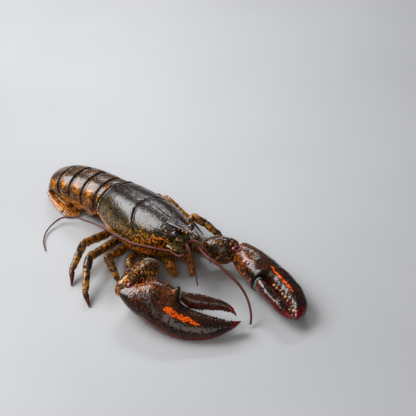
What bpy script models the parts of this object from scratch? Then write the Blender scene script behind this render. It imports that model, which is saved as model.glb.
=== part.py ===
"""American lobster, life size, lying at rest on a flat surface with its tail curled under.

Blender 4.5, metres, +Z up. +X points to the head, +Y to the animal's left, and the origin is
the middle of the small flat under the breast. Every hard plate of the animal is one object.
"""

import bmesh
import bpy
import numpy as np

MM = 0.001
GAP = 0.0003  # clearance between plates that meet
UP = np.array([0.0, 0.0, 1.0])

# Trunk shield. Stations run from its rear edge to the eyes.
SHIELD_X = MM * np.array([-46, -30, -12, 4, 18, 30, 39, 45.5])
SHIELD_HALF_WIDTH = MM * np.array([20.4, 23.6, 25.8, 26.2, 24.4, 20.2, 14.8, 9.0])
SHIELD_TOP = MM * np.array([38.0, 40.6, 43.0, 44.4, 45.0, 45.0, 44.5, 44.0])
SHIELD_WIDEST = MM * np.array([18.5, 17.5, 17.5, 18.5, 21.5, 26.5, 31.5, 34.0])
SHIELD_EDGE = MM * np.array([9.4, 8.4, 8.0, 7.8, 8.6, 9.8, 14.0, 19.0])
REAR_LEAN = 0.17  # the rear edge leans forward by this much per unit of height
GROOVE_X = -0.003  # neck groove at the middle of the back
GROOVE_SWEEP = 0.011  # how much further forward it runs on the flanks
GROOVE_DEPTH = 0.0016
GROOVE_WIDTH = 0.0022

# Beak between the eyes.
BEAK_ROOT = MM * np.array([38.0, 0, 43.0])
BEAK_TIP = MM * np.array([62.0, 0, 47.0])
BEAK_HALF_WIDTH = 0.0050
BEAK_SPINE_AT = (0.45, 0.63, 0.80)
BEAK_SPINE_LENGTH = 0.0045

# Abdomen: length of each ring on the back and its slope from level, from the shield backwards.
# Half widths and depths are those of the seven joints.
RING_LENGTH = MM * np.array([9.5, 16.5, 16.0, 16.0, 16.0, 16.0])
RING_SLOPE = np.radians([3, 4.5, 7, 13, 29, 78])
RING_TURN = np.radians([9, 12, 14, 16, 18, 20])  # how far each ring swings to the animal's right
RING_HALF_WIDTH = MM * np.array([18.4, 19.9, 20.4, 20.0, 19.0, 17.6, 13.5])
RING_DEPTH = MM * np.array([24.0, 28.0, 27.5, 25.5, 23.0, 17.0, 8.5])
BACK_Z = 0.0356
ABDOMEN_START = np.array([SHIELD_X[0] + REAR_LEAN * (BACK_Z - SHIELD_EDGE[0]) - GAP, 0, BACK_Z])
TELSON_SLOPE = np.radians(167)
TELSON_LENGTH = 0.027

# Side plates of the tail fan on the right: where each grows from the end face of the last ring, to the side
# and along its depth, then its tip, half width, half thickness and lean in degrees.
FAN_PLATES = {
    "inner": (0.0065, 0.0072, MM * np.array([-80, -20.0, 6.2]), 0.0080, 0.0009, 5),
    "outer": (0.0100, 0.0022, MM * np.array([-68, -26.0, 2.2]), 0.0090, 0.0010, 5),
}
TELSON_DEPTH = 0.0013

# Walking legs: root at the breast, knee, wrist, ankle and tip, for the second to fifth pair.
LEGS_RIGHT = {
    2: MM * np.array([[11, -21, 5.6], [26, -37, 14], [33, -39.5, 10], [41, -36, 4], [45.5, -29, 0.5]]),
    3: MM * np.array([[0, -22, 5.2], [18.4, -52.2, 21], [24.6, -52.8, 16.5], [32.2, -52.6, 8.5], [38.5, -51, 0.5]]),
    4: MM * np.array([[-13, -22, 5.0], [7.4, -62.1, 20], [13.3, -69.3, 14], [28.3, -80.9, 6], [39.4, -84.8, 0.5]]),
    5: MM * np.array([[-26, -21, 5.0], [-10.3, -56.1, 20], [-9.1, -61.2, 14], [-1.4, -74, 7], [8.6, -81.3, 0.5]]),
}
LEGS_LEFT = {
    2: MM * np.array([[11, 21, 5.6], [13, 39, 17], [24, 43, 14.5], [38, 46.5, 9], [47, 50, 0.5]]),
    3: MM * np.array([[0, 22, 5.2], [-19, 36.5, 16], [-9, 38, 13], [9, 41, 8], [20, 43.5, 0.5]]),
    4: MM * np.array([[-13, 22, 5.0], [-27, 35, 9.0], [-20, 41, 7.5], [-7, 45, 4], [2, 47, 0.5]]),
    5: MM * np.array([[-26, 21, 5.0], [-41, 34, 10.5], [-37, 40, 8], [-26, 45, 4], [-17, 47, 0.5]]),
}
LEG_SIDES = 8
LEG_PAIR_SCALE = {2: 1.05, 3: 1.12, 4: 1.12, 5: 1.10}

# Great arms: root, elbow at the end of the second segment, wrist, and the claw's root and tip.
ARM_RIGHT = MM * np.array([[19.5, -15, 4.8], [30.5, -22, 6.8], [44.9, -30.0, 18.4], [60.4, -61.2, 18.8]])
ARM_LEFT = MM * np.array([[19.5, 15, 4.4], [30, 21.6, 6.8], [49.1, 23.4, 16.0], [73.0, 36.2, 16.4]])
CLAW_TIP_RIGHT = MM * np.array([134.0, -8.8, 11.0])
CLAW_TIP_LEFT = MM * np.array([156.3, 25.7, 9.9])
CLAW_ROLL_RIGHT = np.radians(27)
CLAW_ROLL_LEFT = np.radians(10)

# Outlines of the claws in their own flat: (distance from the root, across), across towards the dactyl.
CUTTER = {
    "outer": MM * np.array([[0, -5.2], [6, -10.5], [12.5, -16], [28.7, -23], [46.5, -26], [64, -23.2], [77, -16.4],
                            [86.5, -7.4], [90.6, -1.6]]),
    "inner": MM * np.array([[0, 5.0], [6, 8.4], [12, 11.4], [19, 13.8], [26, 13.6], [34, 11.6], [39, 11.2],
                            [40.2, 3.2], [42, 1.4], [50, -2.0], [60, -3.0], [74, -3.4], [84, -2.6], [90.6, 0.0]]),
    "thick": MM * np.array([[0, 5.4], [8, 8.4], [20, 11.2], [34, 11.4], [44, 9.6], [60, 7.4], [77, 5.2], [87, 2.6],
                            [90.6, 0.7]]),
    "dactyl_outer": MM * np.array([[40.8, 10.0], [46, 10.6], [54, 11.9], [68, 11.9], [77, 10.6], [82.5, 7.6],
                                   [86, 3.6]]),
    "dactyl_inner": MM * np.array([[40.8, 4.1], [45, 1.9], [50, 0.3], [58, 1.3], [66, 3.2], [74, 4.8], [80, 5.0],
                                   [86, 2.8]]),
    "dactyl_thick": MM * np.array([[40.8, 5.6], [46, 6.4], [56, 6.0], [68, 4.9], [79, 3.2], [86, 0.7]]),
    "teeth": (13, 0.0010, 0.0017, 0.15),
}
CRUSHER = {
    "outer": MM * np.array([[-5, -6], [0, -11.5], [6, -15.5], [23, -20.5], [42, -24], [56, -24.2], [66, -22.6],
                            [75, -18.4], [81, -12.4], [84.4, -5.0]]),
    "inner": MM * np.array([[-5, 4], [0, 5.6], [12, 7.0], [24, 7.6], [33, 7.8], [36.6, 7.4], [37.8, 0.8],
                            [40, -2.6], [48, -4.2], [60, -5.2], [72, -4.8], [80, -2.6], [84.4, -0.6]]),
    "thick": MM * np.array([[-5, 5.2], [0, 8.2], [10, 10.8], [26, 12.0], [40, 11.2], [58, 9.2], [72, 6.6], [80, 4],
                            [84.4, 0.9]]),
    "dactyl_outer": MM * np.array([[38.4, 6.6], [44, 7.6], [52, 8.0], [62, 7.8], [71, 6.8], [78, 5.2],
                                   [83.6, 2.6]]),
    "dactyl_inner": MM * np.array([[38.4, 1.4], [41, 0.0], [46, -0.9], [54, -1.1], [62, -1.2], [71, -0.8],
                                   [78, 0.2], [83.6, 1.2]]),
    "dactyl_thick": MM * np.array([[38.4, 5.0], [44, 5.8], [54, 5.4], [66, 4.6], [77, 3.2], [83.6, 0.8]]),
    "teeth": (7, 0.0021, 0.0016, 0.55),
}

# Long and short feelers: the points that the middle line of each runs through.
FEELER_RIGHT = MM * np.array([
    [61.4, -8.2, 29.4], [60.2, -11.6, 28.8], [54.5, -12.3, 28.3], [49.7, -11.8, 27.4], [42.4, -14.8, 26.0],
    [34.8, -19.8, 26.0], [27.9, -23.9, 25.6], [19.1, -27.3, 24.0], [7.2, -28.3, 21.5], [-5.9, -29.1, 19.5],
    [-24, -28.6, 15.2], [-37, -29.6, 12.8], [-47, -30.5, 10], [-58.5, -32.2, 7.4], [-66.7, -36.7, 5.4],
    [-69.3, -41.6, 4.4], [-68.6, -49, 3.2], [-63.8, -59.2, 2.1], [-53.8, -68.6, 1.4], [-43.2, -73.4, 0.9]])
FEELER_LEFT = MM * np.array([
    [62.6, 5.4, 31.4], [70.8, 3.6, 32], [78.8, 2.4, 32.5], [84.7, 3.8, 31.5], [92.4, 5.6, 29],
    [101.6, 7.3, 25.5], [110.7, 9, 21], [118.3, 8.9, 16], [125.1, 6.9, 11.5], [129.6, 4.8, 6.5],
    [134, 0.8, 2]])
ANTENNULE_RIGHT = MM * np.array([
    [54.5, -2, 32.5], [58.5, -2.6, 34.2], [63, -3.8, 32.4], [67, -4.6, 26], [71.5, -5.0, 17], [76, -5.6, 5.6]])
ANTENNULE_LEFT = MM * np.array([
    [54.5, 2, 32.7], [57.7, 2, 36.5], [61.5, 2.2, 38.8], [66, 3.4, 38.6], [70.5, 4.8, 35.5], [74.5, 5.6, 30.5],
    [78, 5.8, 24.5]])
FEELER_SIDES = 8

# Folded mouth legs: root, two bends and tip.
MOUTH_LEG_RIGHT = MM * np.array([[36.6, -6.2, 8.5], [44.5, -10.0, 11.0], [47.5, -10.3, 6.8], [50.5, -7.5, 3.2]])
MOUTH_LEG_LEFT = MM * np.array([[36.6, 6.2, 8.5], [46.0, 7.6, 10.8], [52.5, 6.0, 6.8], [57.0, 2.8, 2.2]])


def unit(v):
    v = np.asarray(v, float)
    return v / np.linalg.norm(v)


def smooth(x, xs, ys):
    """Monotone cubic through the points (xs, ys), held level past its ends."""
    xs, ys = np.asarray(xs, float), np.asarray(ys, float)
    h, d = np.diff(xs), np.diff(ys) / np.diff(xs)
    m = np.concatenate([[d[0]], (d[1:] + d[:-1]) / 2, [d[-1]]])
    flat = np.concatenate([[False], d[1:] * d[:-1] <= 0, [False]])
    m[flat] = 0
    i = np.clip(np.searchsorted(xs, x) - 1, 0, len(h) - 1)
    t = np.clip((x - xs[i]) / h[i], 0, 1)
    a, b = ys[i], ys[i + 1]
    return (
        a * (1 + 2 * t) * (1 - t) ** 2
        + b * t**2 * (3 - 2 * t)
        + h[i] * (m[i] * t * (1 - t) ** 2 - m[i + 1] * t**2 * (1 - t))
    )


def power(v, exponent):
    return np.sign(v) * np.abs(v) ** exponent


# Making objects


def material(name, colour, roughness):
    made = bpy.data.materials.get(name) or bpy.data.materials.new(name)
    made.use_nodes = True
    shader = made.node_tree.nodes["Principled BSDF"]
    shader.inputs["Base Color"].default_value = (*colour, 1)
    shader.inputs["Roughness"].default_value = roughness
    shader.inputs["Metallic"].default_value = 0
    return made


SHELL = material("shell", (0.10, 0.055, 0.025), 0.30)
CLAW = material("claw_shell", (0.09, 0.030, 0.018), 0.28)
LEG = material("leg_shell", (0.16, 0.085, 0.025), 0.38)
FEELER = material("feeler", (0.22, 0.06, 0.045), 0.40)
EYE = material("eye", (0.006, 0.006, 0.008), 0.08)
FAN = material("tail_fan", (0.32, 0.12, 0.02), 0.35)
UNDERSIDE = material("underside", (0.34, 0.17, 0.07), 0.50)


def link(name, points, faces, finish):
    mesh = bpy.data.meshes.new(name)
    mesh.from_pydata([tuple(p) for p in points], [], faces)
    edit = bmesh.new()
    edit.from_mesh(mesh)
    bmesh.ops.recalc_face_normals(edit, faces=edit.faces)
    if edit.calc_volume(signed=True) < 0:
        bmesh.ops.reverse_faces(edit, faces=edit.faces)
    edit.to_mesh(mesh)
    edit.free()
    mesh.materials.append(finish)
    made = bpy.data.objects.new(name, mesh)
    bpy.context.scene.collection.objects.link(made)
    return made


def loft(rings):
    """Points and faces of a closed body through rings of equal count, with one flat cap at each end."""
    rings = np.asarray(rings, float)
    count, around = rings.shape[:2]
    faces = []
    for i in range(count - 1):
        for j in range(around):
            k = (j + 1) % around
            a, b = i * around, (i + 1) * around
            faces.append((a + j, a + k, b + k, b + j))
    faces.append(tuple(range(around))[::-1])
    faces.append(tuple((count - 1) * around + j for j in range(around)))
    return rings.reshape(-1, 3), faces


def body(name, rings, finish):
    """One closed body through the rings; what would pass below the ground is pressed flat on it."""
    return link(name, *loft([np.maximum(r, [-1, -1, 0]) for r in rings]), finish)


def fused(base, others, solver="MANIFOLD"):
    """Joins the other bodies to base in one Boolean union and keeps its largest closed surface."""
    if others:
        bag = bpy.data.collections.new(base.name + "_pieces")
        for o in others:
            bag.objects.link(o)
        union = base.modifiers.new("join", "BOOLEAN")
        union.operation = "UNION"
        union.operand_type = "COLLECTION"
        union.collection = bag
        union.solver = solver
        graph = bpy.context.evaluated_depsgraph_get()
        joined = bpy.data.meshes.new_from_object(base.evaluated_get(graph))
        base.modifiers.clear()
        base.data = joined
        for o in others:
            bpy.data.objects.remove(o)
        bpy.data.collections.remove(bag)
    edit = bmesh.new()
    edit.from_mesh(base.data)
    islands, seen = [], set()
    for first in edit.verts:
        if first in seen:
            continue
        island, todo = [], [first]
        seen.add(first)
        while todo:
            v = todo.pop()
            island.append(v)
            for e in v.link_edges:
                w = e.other_vert(v)
                if w not in seen:
                    seen.add(w)
                    todo.append(w)
        islands.append(island)
    if len(islands) > 1:
        spans = [np.ptp([v.co for v in island], axis=0).prod() for island in islands]
        kept = islands[int(np.argmax(spans))]
        loose = [v for island in islands if island is not kept for v in island]
        bmesh.ops.delete(edit, geom=loose, context="VERTS")
        edit.to_mesh(base.data)
    edit.free()
    return base


def cone(start, end, radius, sides=6, tip=0.12, sink=0.0):
    """Rings of a tapered spine, its root sunk back along its own line by sink."""
    start, end = np.asarray(start, float), np.asarray(end, float)
    way = unit(end - start)
    start = start - sink * way
    side = unit(np.cross(way, UP if abs(way[2]) < 0.9 else [1, 0, 0]))
    over = np.cross(way, side)
    angle = np.linspace(0, 2 * np.pi, sides, endpoint=False)
    circle = np.outer(np.cos(angle), side) + np.outer(np.sin(angle), over)
    return [start + radius * circle, start * 0.4 + end * 0.6 + 0.5 * radius * circle, end + tip * radius * circle]


def segment(start, end, first_plane, last_plane, side, profile, sides, square=1.0, gaps=(0.5, 0.5)):
    """Rings of one limb segment. Each long line of the surface is cut by the plane of the joint
    before it and of the joint after it, and profile gives half width and half thickness between."""
    start, end = np.asarray(start, float), np.asarray(end, float)
    way = unit(end - start)
    wide = unit(side - (side @ way) * way)
    thick = np.cross(way, wide)
    angle = np.linspace(0, 2 * np.pi, sides, endpoint=False)
    c, s = power(np.cos(angle), square), power(np.sin(angle), square)
    offsets = [w * np.outer(c, wide) + t * np.outer(s, thick) for _, w, t in profile]
    first, last = unit(first_plane), unit(last_plane)
    rings = []
    for (part, _, _), offset in zip(profile, offsets):
        low = (gaps[0] * GAP - offset @ first) / (way @ first)
        high = np.linalg.norm(end - start) + (-gaps[1] * GAP - offset @ last) / (way @ last)
        rings.append(start + offset + np.outer(low + (high - low) * part, way))
    return rings


def joint_planes(joints):
    """Normals of the planes halfway between the directions of the segments that meet."""
    ways = [unit(b - a) for a, b in zip(joints[:-1], joints[1:])]
    return [ways[0], *(unit(a + b) for a, b in zip(ways[:-1], ways[1:])), ways[-1]]


# Trunk shield and beak


def shield_point(x, angle):
    """Point of the trunk shield at station x and at an angle round it, 0 at the right flank,
    a quarter turn at the middle of the back. Above the widest level the section is a half
    ellipse, below it a squarer one, and the neck groove is pressed into it."""
    width = smooth(x, SHIELD_X, SHIELD_HALF_WIDTH)
    top, mid, low = (smooth(x, SHIELD_X, v) for v in (SHIELD_TOP, SHIELD_WIDEST, SHIELD_EDGE))
    c, s = np.cos(angle), np.sin(angle)
    upper = s >= 0
    y = -width * np.where(upper, power(c, 0.92), power(c, 0.5))
    z = np.where(upper, mid + (top - mid) * np.abs(s) ** 0.92, mid - (mid - low) * np.abs(s) ** 0.75)
    height = np.clip(s, 0, 1)
    line = GROOVE_X + GROOVE_SWEEP * (1 - height) ** 1.3
    press = GROOVE_DEPTH * np.exp(-(((x - line) / GROOVE_WIDTH) ** 2)) * np.clip((s + 0.1) / 0.4, 0, 1)
    inward = 1 - press / 0.024
    z = mid + (z - mid) * inward
    lean = REAR_LEAN * (z - SHIELD_EDGE[0]) * np.clip((-0.026 - x) / 0.020, 0, 1)
    return np.stack([x + lean, y * inward, z], axis=-1)


def make_shield():
    around = np.linspace(0, 2 * np.pi, 30, endpoint=False)
    stations = MM * np.array([-46, -40, -32, -24, -16, -10, -6.5, -3, 0.5, 4, 8, 12, 17, 22, 27, 32, 37, 41, 45.5])
    shield = body("carapace", [shield_point(np.full(30, x), around) for x in stations], SHELL)
    way = unit(BEAK_TIP - BEAK_ROOT)
    side = np.array([0.0, 1.0, 0.0])
    profile = [(0, 1.0, 0.0042), (0.35, 0.80, 0.0036), (0.7, 0.48, 0.0026), (0.92, 0.2, 0.0015), (1, 0.07, 0.0005)]
    profile = [(f, BEAK_HALF_WIDTH * w, t) for f, w, t in profile]
    beak = body("beak", segment(BEAK_ROOT, BEAK_TIP, way, way, side, profile, 8), SHELL)
    spines = []
    for at in BEAK_SPINE_AT:
        for hand in (-1, 1):
            root = BEAK_ROOT + at * (BEAK_TIP - BEAK_ROOT) + hand * side * BEAK_HALF_WIDTH * (1 - at) * 0.7
            tip = root + BEAK_SPINE_LENGTH * unit([1.0, hand * 0.55, 0.12])
            spines.append(body("spine", cone(root, tip, 0.0011, sink=0.0012), SHELL))
    for hand in (-1, 1):
        brow = MM * np.array([40.0, hand * 10.6, 40.5])
        tip = brow + 0.0062 * unit([1.0, hand * 0.12, 0.10])
        spines.append(body("spine", cone(brow, tip, 0.0016, sink=0.003), SHELL))
    return fused(shield, [beak, *spines])


# Head lump, eyes, feelers and mouth legs

EYE_ROOT = MM * np.array([46.6, 6.6, 40.6])
EYE_WAY = unit([0.70, 0.34, 0.42])
FEELER_SCALE = MM * np.array([[46.9, 12.4, 33.1], [59.6, 9.4, 33.4]])  # root and tip of the scale over a feeler's root


def mirrored(v, hand):
    """A left-side point or direction, or its right-side twin when hand is -1."""
    return np.asarray(v, float) * [1, hand, 1]


def make_head():
    """The plain lump below the beak, in front of the shield, cut flat where it meets it."""
    stations = MM * np.array([45.5, 48.5, 51.5, 53.0])
    half = MM * np.array([8.6, 8.4, 6.6, 4.4])
    low = MM * np.array([14.5, 16.5, 20.5, 24.0])
    top = MM * np.array([38.6, 38.4, 37.0, 35.0])
    angle = np.linspace(0, 2 * np.pi, 14, endpoint=False)
    rings = []
    for x, w, a, b in zip(stations, half, low, top):
        y = w * power(np.cos(angle), 0.75)
        z = (a + b) / 2 + (b - a) / 2 * power(np.sin(angle), 0.75)
        rings.append(np.stack([np.full(14, x + GAP), y, z], axis=-1))
    return body("head", rings, SHELL)


def make_eye(hand, label):
    root, way = mirrored(EYE_ROOT, hand), mirrored(EYE_WAY, hand)
    side = unit(np.cross(way, UP))
    stalk = [(0, 0.0015, 0.0015), (0.28, 0.0018, 0.0018), (0.46, 0.0026, 0.0026), (0.70, 0.0029, 0.0029),
             (0.91, 0.0019, 0.0019), (1, 0.0007, 0.0007)]
    front = np.array([1.0, 0.0, 0.0])
    return body(f"eye_{label}", segment(root, root + 0.0068 * way, front, way, side, stalk, 10), EYE)


def make_peduncle(hand, label, points):
    """Thick jointed root of a long feeler, with the pointed scale that covers it."""
    planes = joint_planes(points)
    planes[0] = np.array([1.0, 0.0, 0.0])
    side = unit(np.cross(points[1] - points[0], UP))
    rings = []
    radii = [0.0034, 0.0033, 0.0029, 0.0027, 0.0023, 0.0020]
    for i in range(len(points) - 1):
        first, last = radii[2 * i], radii[2 * i + 1]
        profile = [(0, first, first), (1, last, last)]
        rings += segment(points[i], points[i + 1], planes[i], planes[i + 1], side, profile, 10)
    base = body(f"antenna_base_{label}", rings, SHELL)
    root, tip = (mirrored(v, hand) for v in FEELER_SCALE)
    way = tip - root
    scale = [(0, 0.0030, 0.0012), (0.5, 0.0034, 0.0013), (0.85, 0.0016, 0.0010), (1, 0.0003, 0.0004)]
    blade = body("blade", segment(root, tip, way, way, np.cross(way, UP), scale, 8), SHELL)
    return fused(base, [blade])


def route(points, count):
    """Evenly parted points of a smooth curve through the given ones: cubic pieces over the length of the
    straight lines between them, which meet in the mean direction of the two lines."""
    points = np.asarray(points, float)
    h = np.linalg.norm(np.diff(points, axis=0), axis=1)
    line = np.diff(points, axis=0) / h[:, None]
    mean = (line[:-1] * h[1:, None] + line[1:] * h[:-1, None]) / (h[:-1] + h[1:])[:, None]
    way = np.concatenate([line[:1], mean, line[-1:]])
    reach = np.concatenate([[0], np.cumsum(h)])
    at = np.linspace(0, reach[-1], count)
    i = np.clip(np.searchsorted(reach, at) - 1, 0, len(h) - 1)
    t = ((at - reach[i]) / h[i])[:, None]
    between = points[i] * (1 + 2 * t) * (1 - t) ** 2 + points[i + 1] * t**2 * (3 - 2 * t)
    return between + h[i][:, None] * (way[i] * t * (1 - t) ** 2 - way[i + 1] * t**2 * (1 - t))


def tube(name, points, radii, sides, finish, count):
    """A thin round body along a smooth path through points, evenly parted into count rings."""
    path = route(points, count)
    way = np.gradient(path, axis=0)
    way /= np.linalg.norm(way, axis=1)[:, None]
    side = np.cross(way, UP)
    side /= np.linalg.norm(side, axis=1)[:, None]
    over = np.cross(way, side)
    angle = np.linspace(0, 2 * np.pi, sides, endpoint=False)
    radius = np.interp(np.linspace(0, 1, count), np.linspace(0, 1, len(radii)), radii)
    circle = np.cos(angle)[:, None] * side[:, None] + np.sin(angle)[:, None] * over[:, None]
    return body(name, path[:, None] + radius[:, None, None] * circle, finish)


def make_feelers():
    right = MM * np.array([[53.6, -5.6, 29.4], [56.8, -6.6, 29.6], [59.4, -7.4, 29.8]])
    left = MM * np.array([[53.6, 5.8, 29.4], [58.2, 6.4, 30.6], [61.8, 5.8, 31.2]])
    make_peduncle(-1, "r", right)
    make_peduncle(1, "l", left)
    tube("antenna_r", FEELER_RIGHT, (0.0017, 0.0014, 0.0011, 0.0009, 0.0007, 0.0005), FEELER_SIDES, FEELER, 40)
    tube("antenna_l", FEELER_LEFT, (0.0017, 0.0014, 0.0013, 0.0012, 0.0011), FEELER_SIDES, FEELER, 24)
    for label, path in (("r", ANTENNULE_RIGHT), ("l", ANTENNULE_LEFT)):
        tube(f"antennule_{label}", path, (0.0015, 0.0013, 0.0010, 0.0007, 0.0004), 7, FEELER, 14)


def make_mouth_legs():
    """The last pair of mouth legs, folded forward under the head."""
    for label, points in (("l", MOUTH_LEG_LEFT), ("r", MOUTH_LEG_RIGHT)):
        planes = joint_planes(points)
        side = np.array([0.0, 1.0, 0.0])
        widths = [[(0, 3.0, 3.6), (0.5, 3.6, 4.2), (1, 3.2, 3.8)], [(0, 3.2, 3.8), (0.6, 3.4, 3.6), (1, 2.6, 2.8)],
                  [(0, 2.6, 2.8), (0.6, 2.0, 2.2), (1, 0.7, 0.8)]]
        rings = []
        for i, width in enumerate(widths):
            profile = [(f, MM * w, MM * t) for f, w, t in width]
            rings += segment(points[i], points[i + 1], planes[i], planes[i + 1], side, profile, 10, gaps=(0.1, 0.1))
        body(f"maxilliped_{label}", rings, UNDERSIDE)


# Breast and legs


def make_breast():
    """The underside between the legs with the legs' stout roots along its flanks, flat below."""
    stations = MM * np.array([-36, -33, -29.5, -26, -22.5, -19.5, -16.5, -13, -9.5, -6.5, -3.5, 0, 3.5, 5.5, 8, 11,
                              14, 16, 20, 24, 30, 34.5])
    lumps = MM * np.array([-26, -13, 0, 11])
    rings = []
    for x in stations:
        top = smooth(x, SHIELD_X, SHIELD_EDGE) - GAP
        near = np.exp(-(((x - lumps) / 0.0036) ** 2)).max()
        ends = np.clip(min(x + 0.039, 0.038 - x) / 0.008, 0.25, 1)
        wide = (0.0118 + 0.0085 * near) * ends ** 0.5
        if x > 0.0145:
            wide = smooth(x, MM * np.array([14.5, 17, 30, 35]), MM * np.array([12.0, 8.4, 8.4, 7.0]))
        floor = 0.0014 * (1 - np.clip((0.032 - abs(x)) / 0.005, 0, 1))
        foot = 0.0085 * ends
        low = 0.0021 - 0.0006 * near
        rings.append([
            [x, -foot, floor], [x, -foot * 1.15, floor + 0.0004], [x, -wide * 0.92, low], [x, -wide, 0.0042],
            [x, -wide * 0.94, top - 0.0016], [x, -wide * 0.7, top], [x, wide * 0.7, top],
            [x, wide * 0.94, top - 0.0016], [x, wide, 0.0042], [x, wide * 0.92, low],
            [x, foot * 1.15, floor + 0.0004], [x, foot, floor]])
    return body("thorax", rings, UNDERSIDE)


def make_leg(pair, hand, label, points):
    """One walking leg: upper part to the knee, lower part from the knee with its pincer or point."""
    size = LEG_PAIR_SCALE[pair]
    planes = joint_planes(points)
    outward = unit(points[1] - points[0])
    side = unit(np.cross(outward, UP))
    upper = [(0, 2.4, 2.7), (0.3, 3.1, 3.6), (0.75, 2.8, 3.3), (0.93, 3.0, 3.4), (1, 2.5, 2.8)]
    wrist = [(0, 2.6, 2.8), (0.5, 3.1, 3.2), (1, 2.6, 2.8)]
    shin = [(0, 2.6, 2.8), (0.5, 2.6, 2.7), (1, 2.0, 2.2)]
    point = [(0, 2.0, 2.2), (0.5, 1.4, 1.5), (1, 0.30, 0.30)]

    def scaled(profile):
        return [(f, MM * w * size, MM * t * size) for f, w, t in profile]

    start = points[0] + outward * GAP
    body(f"leg{pair}_{label}_upper", segment(start, points[1], outward, planes[1], side, scaled(upper), LEG_SIDES), LEG)
    rings = segment(points[1], points[2], planes[1], planes[2], side, scaled(wrist), LEG_SIDES, gaps=(0.5, 0.1))
    rings += segment(points[2], points[3], planes[2], planes[3], side, scaled(shin), LEG_SIDES, gaps=(0.1, 0.1))
    if pair > 3:
        rings += segment(points[3], points[4], planes[3], planes[4], side, scaled(point), LEG_SIDES, gaps=(0.1, 0))
        return body(f"leg{pair}_{label}_lower", rings, LEG)
    lower = body(f"leg{pair}_{label}_lower", rings, LEG)
    way = unit(points[4] - points[3])
    across = unit(np.cross(way, side))
    fingers = []
    for turn, reach in ((1, 0.0), (-1, -0.001)):
        root = points[3] - 0.0015 * way + turn * 0.0009 * size * across
        tip = points[4] + way * reach + turn * 0.0006 * across
        fingers.append(body("finger", cone(root, tip, 0.0011 * size, tip=0.3), LEG))
    return fused(lower, fingers)


# Great arms and claws


def claw_frame(root, tip, roll, hand):
    """Axis of the claw, the way across towards its dactyl, which the roll lifts, and its thick way."""
    along = unit(tip - root)
    level = unit(np.cross(UP, along)) * -hand
    lift = unit(np.cross(along, level))
    lift = lift if lift[2] > 0 else -lift
    across = level * np.cos(roll) + lift * np.sin(roll)
    return along, across, np.cross(along, across)


def claw_rings(root, frame, outer, inner, thick, stations, sides, shear=None, square=0.86):
    along, across, over = frame
    angle = np.linspace(0, 2 * np.pi, sides, endpoint=False)
    rings = []
    for u in stations:
        low, high, half = (smooth(u, curve[:, 0], curve[:, 1]) for curve in (outer, inner, thick))
        v = (low + high) / 2 + (high - low) / 2 * power(np.cos(angle), square)
        t = half * power(np.sin(angle), square)
        offset = np.outer(v, across) + np.outer(t, over)
        push = np.zeros(sides)
        if shear is not None:
            fade = np.clip(1 - u / 0.018, 0, 1) ** 1.5
            cut = -(offset @ shear) / (along @ shear)
            push = np.maximum(fade * cut, cut - u)
        rings.append(root + offset + np.outer(u + push, along))
    rings = np.array(rings)
    rings[..., 2] = np.maximum(rings[..., 2], 0)
    return rings


def teeth_on(root, frame, edge, span, numbers, turn):
    along, across, over = frame
    count, radius, height, blunt = numbers
    pieces = []
    for i, u in enumerate(np.linspace(*span, count)):
        v = smooth(u, edge[:, 0], edge[:, 1])
        tall = height * (0.75 + 0.5 * np.sin(np.pi * (i + 0.5) / count) * (1 if i % 3 else 0.7))
        foot = root + u * along + v * across
        pieces.append(body("tooth", cone(foot, foot + turn * tall * across, radius, tip=blunt, sink=0.0014), CLAW))
    return pieces


def make_claw(shape, root, tip, roll, hand, label, plane):
    frame = claw_frame(root, tip, roll, hand)
    along, across, over = frame
    first = max(shape["outer"][0, 0], 0)
    last = shape["outer"][-1, 0]
    knuckle = shape["dactyl_outer"][0, 0]
    stations = np.concatenate([
        np.linspace(first, knuckle - 0.0018, 9),
        knuckle + MM * np.array([-0.6, 0.8, 3.0, 5.6]),
        np.linspace(knuckle + 0.009, last, 10)])
    start = root + plane * GAP / 2
    rings = claw_rings(start, frame, shape["outer"], shape["inner"], shape["thick"], stations, 20, plane)
    palm = body(f"claw_{label}_palm", rings, CLAW)
    span = (knuckle + 0.012, last - 0.006)
    pieces = teeth_on(root, frame, shape["inner"], span, shape["teeth"], 1)
    for u in np.linspace(0.008, knuckle - 0.006, 4):
        foot = root + u * along + (smooth(u, *shape["inner"].T) - 0.0012) * across
        pieces.append(body("spine", cone(foot, foot + 0.0042 * unit(across + 0.4 * along), 0.0017), CLAW))
    fused(palm, pieces)
    grown = shape["dactyl_outer"][:, 0]
    stations = np.linspace(grown[0], grown[-1], 11)
    rings = claw_rings(root, frame, shape["dactyl_inner"], shape["dactyl_outer"], shape["dactyl_thick"], stations, 14)
    finger = body(f"claw_{label}_dactyl", rings, CLAW)
    span = (grown[0] + 0.012, grown[-1] - 0.005)
    fused(finger, teeth_on(root, frame, shape["dactyl_inner"], span, shape["teeth"], -1))


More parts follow.
